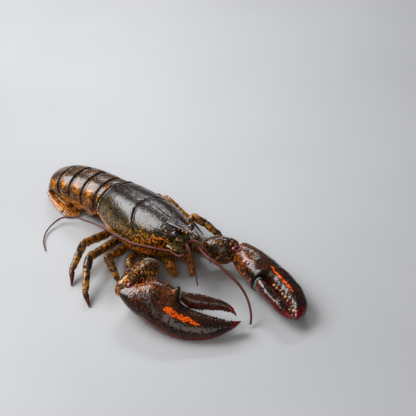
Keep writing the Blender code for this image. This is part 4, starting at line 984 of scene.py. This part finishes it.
def palm_patch(shape, root, axes, plane):
    """The palm and fixed finger, with a saw along the inner edge and warts about the wrist."""
    first, last = shape["outer"][[0, -1], 0]
    first, knuckle = max(first, 0), shape["dactyl_outer"][0, 0]
    stations = np.concatenate([np.linspace(first, knuckle - 0.002, 95),
                               np.linspace(knuckle - 0.0018, knuckle + 0.001, 14),
                               np.linspace(knuckle + 0.0013, last, 150)])
    grid, u, c, s = claw_grid(root + plane * GAP, axes, shape["outer"], shape["inner"], shape["thick"],
                              stations, 150, plane)
    across = axes[1]
    teeth = saw(u, knuckle + 0.005, last - 0.003, shape["pitch"], 61) * step(c, shape["edge"], 1.0) ** 0.6
    wrist = 1 - step(u, 0.012, knuckle)
    warts = grains(grid, 0.0036, 62, 0.14, 0.32) * (0.20 + 0.80 * wrist) * step(c, -0.6, 0.7)
    grid = raised(grid, 0.00085 * warts + 0.00022 * grains(grid, 0.0019, 63)
                  + 0.0004 * cloud(grid, 0.009, 64))
    grid = grid + (shape["tooth"] * teeth)[..., None] * across
    v = (grid - root) @ across
    middle, half = shape["streak"]
    spread = smooth(u, half)
    drift = spread * (0.30 * cloud(grid, 0.0075, 67) + 0.40 * cloud(grid, 0.0028, 68))
    streak = bell(v + drift - smooth(u, middle), spread)
    streak = streak * step(u, 0.028, 0.036) * step(-u, -0.070, -0.058)
    tone = (0.60 + 0.18 * step(u, 0.010, 0.045) + 0.30 * cloud(grid, 0.010, 65)
            - 0.36 * wrist * step(c, -1.0, 0.9))
    tone = tone - 0.30 * (1 - step(s, -0.7, 0.1))
    tip = step(u, last - 0.011, last - 0.001)
    rim = np.maximum(tip, 0.70 * bell(c + 1.0, 0.08) * step(u, 0.008, 0.02))
    rim = np.maximum(rim, 0.52 * step(c, 0.75, 1.0) * (u > knuckle))
    warm = 0.92 * streak * step(s, 0.0, 0.3)
    return patch(grid, 0.0006, tone, 0.30 + 0.65 * wrist + 0.12 * streak, warm, rim)


def finger_patch(shape, root, axes):
    """The moving finger, with the saw along its inner edge, dark above and crimson at the tip."""
    first, last = shape["dactyl_outer"][[0, -1], 0]
    grid, u, c, _ = claw_grid(root, axes, shape["dactyl_inner"], shape["dactyl_outer"],
                              shape["dactyl_thick"], np.linspace(first, last, 150), 110)
    across = axes[1]
    teeth = saw(u, first + 0.006, last - 0.003, shape["pitch"], 71) * step(-c, shape["edge"], 1.0) ** 0.6
    grid = raised(grid, 0.00022 * grains(grid, 0.0019, 73) + 0.0004 * cloud(grid, 0.005, 74))
    grid = grid - (shape["tooth"] * teeth)[..., None] * across
    tip = step(u, last - 0.013, last - 0.001)
    tone = 0.72 + 0.32 * cloud(grid, 0.008, 75) - 0.25 * bell(u - first, 0.005)
    rim = np.maximum(tip, 0.30 + 0.22 * step(-c, 0.3, 0.95))
    rim = np.maximum(rim, 0.54 * step(c, 0.35, 0.98))
    return patch(grid, 0.0010, tone, 0.25, 0.0, rim)


for label, hand, shape in (("r", -1, CUTTER), ("l", 1, CRUSHER)):
    joints, tip = ARMS[label], CLAW_TIPS[label]
    plane = joint_planes(np.concatenate([joints, [tip]]))[3]
    root = joints[3]
    axes = claw_frame(root, tip, CLAW_ROLLS[label], hand)
    along, across, over = axes
    top = over * np.sign(over[2])
    knuckle = shape["dactyl_outer"][0, 0]
    patches = [grounded(palm_patch(shape, root, axes, plane))]
    for u in np.linspace(0.008, knuckle - 0.006, 4):
        foot = root + u * along + (smooth(u, shape["inner"]) - 0.0006) * across
        patches.append(thorn(foot, foot + 0.0028 * unit(across + 0.4 * along), 0.0013, around=18, tone=0.5,
                             warm=0.75))
    for u, v in KNUCKLE_SPINES:
        mid, half = smooth(u, shape["inner"]) * v, smooth(u, shape["thick"]) * np.sqrt(1 - v * v * 0.95)
        foot = root + u * along + mid * across + half * top
        patches.append(thorn(foot, foot + 0.0014 * unit(top + 0.5 * across), 0.0010, tone=0.5, warm=0.6))
    for v, w, size in CONDYLES:
        condyle = root + 0.0012 * along + MM * v * across + smooth(0.002, shape["thick"]) * w * top
        patches.append(ball(condyle, size * MM * np.array([4.0, 4.4, 3.4]), axes, tone=0.8, spots=0.3,
                            warm=0.0, rim=0.62))
    plate(f"claw_palm_{label}", patches, CLAW_FINISH, "claw_shell", f"claw_{label}_palm")
    plate(f"claw_finger_{label}", [grounded(finger_patch(shape, root, axes))], CLAW_FINISH, "claw_shell",
          f"claw_{label}_dactyl")
    hinge = (root + knuckle * along + (shape["dactyl_outer"][0, 1] * 0.5
                                       + shape["dactyl_inner"][0, 1] * 0.5) * across)
    joint_skins.append(ball(hinge, [0.0016, 0.0040, 0.0062], axes, tone=0.3, spots=0.2))
    if label == "l":
        knobs = []
        for edge, thick, turn, first, pitch in KNOB_ROWS:
            for u in np.arange(first, 0.081, pitch):
                size, shade, deep = chances(np.array([1000.0 * u, turn, 0.0]), 69)[:3]
                place = root + u * along + (smooth(u, shape[edge]) - turn * 0.0003) * across
                place = place + smooth(u, shape[thick]) * (0.22 + 0.2 * deep) * top
                sizes = MM * (0.8 + 0.6 * size) * np.array([1.0, 1.5, 1.2])
                knobs.append(ball(place, sizes, axes, 10, 14, tone=shade,
                                  rim=0.9 * (shade > 0.6 + 0.5 * (u < 0.068))))
        plate("crusher_knobs", knobs, TOOTH_FINISH, "claw_shell")
    if label == "r":
        run = np.linspace(knuckle + 0.004, shape["outer"][-1, 0] - 0.012, CUTTER_HAIRS)
        roots = root + run[:, None] * along + (smooth(run, shape["inner"]) - 0.0002)[:, None] * across
        ways = np.tile(unit(across + 0.3 * along), (CUTTER_HAIRS, 1))
        bristles("cutter_bristles", roots, ways, 0.0018, 0.00012, 77)

# Joint skins. Grey-green skin between the hard tubes of legs, arms and claws, seen where they bend.

plate("joint_skins", joint_skins, SKIN_FINISH, "underside")

# Tail rings. Six arched plates, each with a smooth front band that slides under the ring before it and
# a pointed lobe hanging on each flank. Dark along the back, orange-yellow blotches on the sides.

RING_LENGTH = mm(9.5, 16.5, 16.0, 16.0, 16.0, 16.0)
RING_SLOPE = np.radians([3, 4.5, 7, 13, 29, 78])
RING_TURN = np.radians([9, 12, 14, 16, 18, 20])
RING_HALF_WIDTH = mm(18.4, 19.9, 20.4, 20.0, 19.0, 17.6, 13.5)
RING_DEPTH = mm(24.0, 28.0, 27.5, 25.5, 23.0, 17.0, 8.5)
BACK_Z = 0.0356
TAIL_START = np.array([SHIELD_X[0] + REAR_LEAN * (BACK_Z - SHIELD_EDGE[0]) - 0.0003, 0, BACK_Z])
TELSON_SLOPE = np.radians(167)


def tail_frames():
    """Back points of the seven joints, with each one's plane normal, way down and way across."""
    turns, slopes = np.append(RING_TURN, RING_TURN[-1]), np.append(RING_SLOPE, TELSON_SLOPE)
    ways = -np.stack([np.cos(slopes) * np.cos(turns), np.cos(slopes) * np.sin(turns), np.sin(slopes)],
                     axis=1)
    points = TAIL_START + np.concatenate([[[0, 0, 0]], np.cumsum(RING_LENGTH[:, None] * ways[:-1], axis=0)])
    normals = np.concatenate([unit([[-1.0, 0.0, REAR_LEAN]]), unit(ways[:-1] + ways[1:])])
    mean = np.concatenate([[0.0], (turns[:-1] + turns[1:]) / 2])
    across = np.stack([-np.sin(mean), np.cos(mean), 0 * mean], axis=1)
    across = unit(across - (across * normals).sum(axis=1, keepdims=True) * normals)
    return points, normals, np.cross(normals, across), across, ways


def closed_curve(corners, count):
    """Evenly spaced points of the closed Catmull-Rom curve through the corners, along their second axis."""
    many = corners.shape[1]
    at = np.linspace(0, many, count, endpoint=False)
    i, t = np.floor(at).astype(int), (at % 1)[:, None]
    a, b, c, d = (corners[:, (i + k) % many] for k in (-1, 0, 1, 2))
    return 0.5 * (2 * b + (c - a) * t + (2 * a - 5 * b + 4 * c - d) * t**2 + (3 * b - a - 3 * c + d) * t**3)


def part_way(values, i, part):
    """What lies between the values at joint i and at the next one."""
    return values[i] * (1 - part) + values[i + 1] * part


def ring_patch(i, frames):
    """One ring: sections carried from joint to joint, an arch over a flat belly with a lobe on each flank
    that is longest behind the middle. The front band lies lower than the rest, behind a fine groove."""
    points, normals, downs, across = frames[:4]
    part = np.linspace(0, 1, 90)[:, None]
    half = part_way(RING_HALF_WIDTH, i, part)
    depth = part_way(RING_DEPTH, i, part)
    lobe = (step(part, 0.0, 0.5) * (1 - step(part, 0.62, 1.0)) ** 0.8) * (0.35 if i == 5 else 1.0)
    turn = np.linspace(0, np.pi, 25)[None, :]
    arch = np.stack([-half * power(np.cos(turn), 0.9), depth * 0.62 * (1 - power(np.sin(turn), 0.85))],
                    axis=-1)
    flank = np.array([[1.0, 0.70, 0], [0.985, 0.80, 0.06], [0.945, 0.82, 0.16], [0.87, 0.80, 0.13],
                      [0.76, 0.79, 0.04], [0.62, 0.78, 0]])
    right = np.stack([half * flank[:, 0], depth * (flank[:, 1] + flank[:, 2] * lobe)], axis=-1)
    left = right[:, ::-1] * [-1, 1]
    section = closed_curve(np.concatenate([arch, right, left], axis=1), 240)
    gap = GAP * 2 * (0.5 - part)
    back = part_way(points, i, part) + normals[i] * gap * (1 - part) + normals[i + 1] * gap * part
    down = part_way(downs, i, part)
    wide = part_way(across, i, part)
    grid = back[:, None] + section[..., :1] * wide[:, None] + section[..., 1:] * down[:, None]
    side = section[..., 0] / half
    depth_at = section[..., 1] / depth
    arched = 1 - step(depth_at, 0.66, 0.80)
    band = 0.16 if i else 0.30
    press = 0.0013 * (1 - step(part, band - 0.05, band)) + 0.0006 * bell(part - band - 0.01, 0.018)
    press = (press - 0.0004 * np.sin(np.pi * np.clip((part - band) / (1 - band), 0, 1))
             - 0.00022 * bell(part - 0.93, 0.03))
    press = press + 0.0008 * step(part, 0.965, 1.0)
    press = press * arched + 0.0007 * bell(depth_at - 0.66 - 0.06 * np.cos(6 * part), 0.025) * (part > band)
    grid = raised(grid, 0.00018 * cloud(grid, 0.006, 81) + 0.00006 * grains(grid, 0.0018, 82) - press)
    flank_low = step(depth_at, 0.48, 0.74)
    lumps = cloud(grid, 0.0045, 84)
    tone = 0.66 - 0.28 * step(np.abs(side), 0.35, 0.85) - 0.28 * flank_low + 0.34 * cloud(grid, 0.007, 83)
    # Painted shade: the tone is darkened in the groove behind the front band and along the rear edge, where
    # one ring meets the next.
    tone = tone + 0.40 * (bell(part - band, 0.04) + bell(part - 1.0, 0.05)) * arched
    blotch = bell(np.abs(side) - 0.80, 0.15) * bell(part - 0.60, 0.30) * (1 - flank_low)
    blotch = (blotch + 0.5 * bell(np.abs(side) - 0.45, 0.12) * bell(part - 0.72, 0.18)
              + 0.40 * lumps * step(np.abs(side), 0.3, 0.7))
    warm = 0.95 * blotch + 0.36 * flank_low * step(-part, -0.85, -0.5)
    rim = (0.75 * bell(part - 0.955, 0.02) * step(np.abs(side), 0.3, 0.7)
           + 0.65 * bell(depth_at - 0.83 - 0.13 * lobe, 0.03))
    grid = np.maximum(grid, [-1, -1, 0.0])
    return patch(grid, 0.0003, tone, 0.55 - 0.2 * flank_low, warm, rim)


TAIL_FINISH = shell_finish(
    "tail shell", [(0.0, 0.36, 0.11, 0.008), (0.32, 0.17, 0.062, 0.008), (0.60, 0.105, 0.056, 0.026),
                   (1.0, 0.036, 0.022, 0.018)],
    warm=(0.56, 0.20, 0.006), rim=(0.28, 0.17, 0.08), fleck=(0.40, 0.15, 0.012))
FRAMES = tail_frames()
for i in range(len(RING_LENGTH)):
    plate(f"tail_ring_{i + 1}", [ring_patch(i, FRAMES)], TAIL_FINISH, "shell", f"abdomen_{i + 1}")

# Tail fan. A middle plate and two side plates a side, thin, ribbed lengthwise and fringed with fine
# hairs. Orange-brown. The fan is folded forward under the tail.

TELSON_LENGTH = 0.027
TELSON_DEPTH = 0.0013
FRINGE_HAIRS = 150
# Each side plate's root out from the middle and down, its tip, half width, thickness and lean in degrees.
FAN_PLATES = {"inner": (0.0065, 0.0072, mm(-80, -20.0, 6.2), 0.0080, 0.0009, 5),
              "outer": (0.0100, 0.0022, mm(-68, -26.0, 2.2), 0.0089, 0.0010, 5)}
LOBE = np.array([[0, 0.45, 0.8], [0.15, 0.68, 1.0], [0.45, 0.95, 0.9], [0.75, 1.0, 0.75], [0.92, 0.82, 0.6],
                 [1, 0.45, 0.4]])


def fan_plate(name, node, root, plane, tip, side, half, thick, ribs, seam):
    """A thin rounded lobe, cut at its root by a plane, with ribs running out along it, a cross seam, and a
    fringe round its far edge."""
    length = np.linalg.norm(tip - root)
    way = (tip - root) / length
    profile = LOBE * [1, half / MM, thick / MM]
    grid, part, _ = segment(root, tip, (plane, way), side, profile, 1.0, 90, 130, 0.8, gaps=(2, 0))
    wide_way = unit(side - (side @ way) * way)
    across = ((grid - root) @ wide_way) / half
    rib = np.cos(2 * np.pi * ribs * across / (0.5 + 0.5 * smooth(part, LOBE[:, :2])))
    press = 0.00007 * rib * step(part, 0.1, 0.3)
    press = press + 0.0003 * bell(part - 0.70 - 0.06 * across**2, 0.02) * seam
    middle = 0.0003 * bell(across, 0.10) * (1 - step(part, 0.6, 0.95))
    grid = on_floor(raised(grid, middle - press + 0.00012 * cloud(grid, 0.004, 91)))
    tone = 0.30 + 0.34 * cloud(grid, 0.005, 92) + 0.35 * bell(part, 0.12) + 0.05 * step(rib, 0.4, 0.9)
    rim = 0.6 * step(np.abs(across), 0.88, 0.99) + 0.6 * step(part, 0.95, 1.0)
    plate(name, [patch(grid, 0.0003, tone, 0.35, 0.5 * bell(np.abs(across) - 0.5, 0.25), rim)], FAN_FINISH,
          "tail_fan", node)
    turn = np.linspace(-1.15, 1.15, FRINGE_HAIRS)
    edge_part = 0.80 + 0.20 * np.cos(turn * 1.2)
    at = np.sin(turn * 1.2) * half * smooth(edge_part, LOBE[:, :2]) / 0.98
    roots = root + (edge_part * length)[:, None] * way + np.clip(at, -half, half)[:, None] * wide_way
    ways = unit(way + (np.sin(turn) * 0.9)[:, None] * wide_way)
    bristles(name + "_fringe", roots, ways, 0.0022, 0.00012, 93, spread=0.08)


FAN_FINISH = shell_finish(
    "tail fan shell", [(0.0, 0.50, 0.18, 0.020), (0.4, 0.30, 0.100, 0.014), (0.7, 0.12, 0.042, 0.012),
                       (1.0, 0.03, 0.014, 0.010)],
    warm=(0.56, 0.22, 0.02), rim=(0.30, 0.11, 0.025), fleck=(0.5, 0.20, 0.025))
end, end_plane, tail_down, tail_across, way = (v[-1] for v in FRAMES)
root = end + TELSON_DEPTH * tail_down
fan_plate("telson_plate", "telson", root, end_plane, root + TELSON_LENGTH * way, tail_across, 0.0090,
          0.0013, 5, 0.0)
for which, (sideways, depth, tip, half, thick, lean) in FAN_PLATES.items():
    root = end - sideways * tail_across + depth * tail_down
    edge = np.array([0.0, np.cos(np.radians(lean)), np.sin(np.radians(lean))])
    for label in ("r", "l"):
        fan_plate(f"fan_{which}_{label}", f"uropod_{which}_{label}", root, end_plane, tip, edge, half,
                  thick, 4, 1.0 if which == "outer" else 0.0)
        root, tip = (v - 2 * ((v - end) @ tail_across) * tail_across for v in (root, tip))
        edge = edge - 2 * (edge @ tail_across) * tail_across

# Swimming legs. Five pairs of soft paddles folded back under the tail, each two leaf-shaped blades on a
# short stalk.

PADDLE_X = MM * np.linspace(-49, -71, 5)


def paddle_patch(root, way, side, length, half, thick):
    """A leaf-shaped blade, widest past its middle, a little cupped."""
    leaf = (np.array([[0, 0.35, 1.0], [0.2, 0.7, 1.0], [0.6, 1.0, 0.7], [0.9, 0.6, 0.5], [1, 0.2, 0.4]])
            * [1, half / MM, thick / MM])
    grid, part, _ = segment(root, root + length * way, (way, way), side, leaf, 1.0, 30, 40, 0.9,
                            gaps=(0, 0), arch=-0.0004)
    return patch(on_floor(grid), 0.0002, 0.35 + 0.25 * cloud(grid, 0.003, 95), 0.2,
                 0.3 * bell(part - 0.5, 0.4))


for label, hand in SIDES:
    patches = []
    for x in PADDLE_X:
        y = np.interp(x, FRAMES[0][::-1, 0], FRAMES[0][::-1, 1]) + hand * 0.0125
        root = np.array([x, y, 0.0064])
        way = unit([-1.0, -0.2, -0.20])
        for sideways, half in ((0.0022, 0.0034), (-0.0022, 0.0030)):
            patches.append(paddle_patch(root + [0, hand * sideways, 0], way, unit([-0.2, 1, 0.10 * hand]),
                                        0.0064, half, 0.0004))
        patches.append(tube(np.array([root + mm(1.6, 0, 0.1), root]), mm(0.6, 0.8, 0.7), 16, 20,
                            tone=0.4, spots=0.2))
    plate(f"swimming_legs_{label}", [*map(grounded, patches)], UNDER_FINISH, "underside",
          f"swimmerets_{label}")

# Floor, light and camera. A plain pale slab, a broad window light behind the animal's right, a narrow
# one behind its left, a soft fill in front, and the photo's view from the front right.

FLOOR_HALF = 1.6
LOOK_AT = np.array([-0.0085, 0.0706, 0.0])
EYE = np.array([0.6928, -0.4773, 0.6466])
LENS = 109.5
SENSOR = 36
# Each light's name, place, sizes, watts and colour.
LIGHTS = (("window", (-0.95, -0.50, 1.02), (1.25, 0.90), 31.0, (0.95, 0.97, 1.0)),
          ("back_window", (-0.95, 0.75, 0.80), (0.6, 0.12), 3.0, (0.96, 0.98, 1.0)),
          ("front_fill", (0.85, -0.75, 0.9), (1.3, 0.9), 7.5, (1.0, 0.98, 0.95)))
ROOM_COLOUR, ROOM_STRENGTH = (0.92, 0.92, 0.93, 1), 0.16

floor_finish, floor_shader, floor_place = begin("slab", Roughness=0.42)
floor_tone = floor_place.noise(3.0, 4.0)
connect(floor_shader, Base_Color=floor_tone.ramp([(0.3, 0.395, 0.395, 0.40), (0.7, 0.44, 0.44, 0.445)]))
corners = FLOOR_HALF * np.array([[-1, -1, 0], [1, -1, 0], [1, 1, 0], [-1, 1, 0]])
floor_mesh = bpy.data.meshes.new("slab")
floor_mesh.from_pydata(corners, [], [[0, 1, 2, 3]])
floor_mesh.materials.append(floor_finish)
slab = linked("slab", floor_mesh)


def aimed(name, data, place, target):
    """An object at place whose -Z looks at target, with its own up side up."""
    made = linked(name, data)
    made.location = place
    made.rotation_euler = Vector(np.subtract(target, place)).to_track_quat("-Z", "Y").to_euler()
    return made


def soft_light(name, place, sizes, watts, colour):
    data = bpy.data.lights.new(name, "AREA")
    data.shape = "RECTANGLE"
    data.size, data.size_y = sizes
    data.energy = watts
    data.color = colour
    aimed(name, data, place, (0, 0, 0.02))


for light in LIGHTS:
    soft_light(*light)
world = bpy.data.worlds.new("room")
world.use_nodes = True
background = world.node_tree.nodes["Background"].inputs
background["Color"].default_value, background["Strength"].default_value = ROOM_COLOUR, ROOM_STRENGTH
bpy.context.scene.world = world
bpy.context.scene.view_settings.view_transform = "Standard"
bpy.context.scene.view_settings.look = "Medium High Contrast"
camera_data = bpy.data.cameras.new("camera")
camera_data.lens = LENS
camera_data.sensor_width = SENSOR
bpy.context.scene.camera = aimed("camera", camera_data, EYE, LOOK_AT)
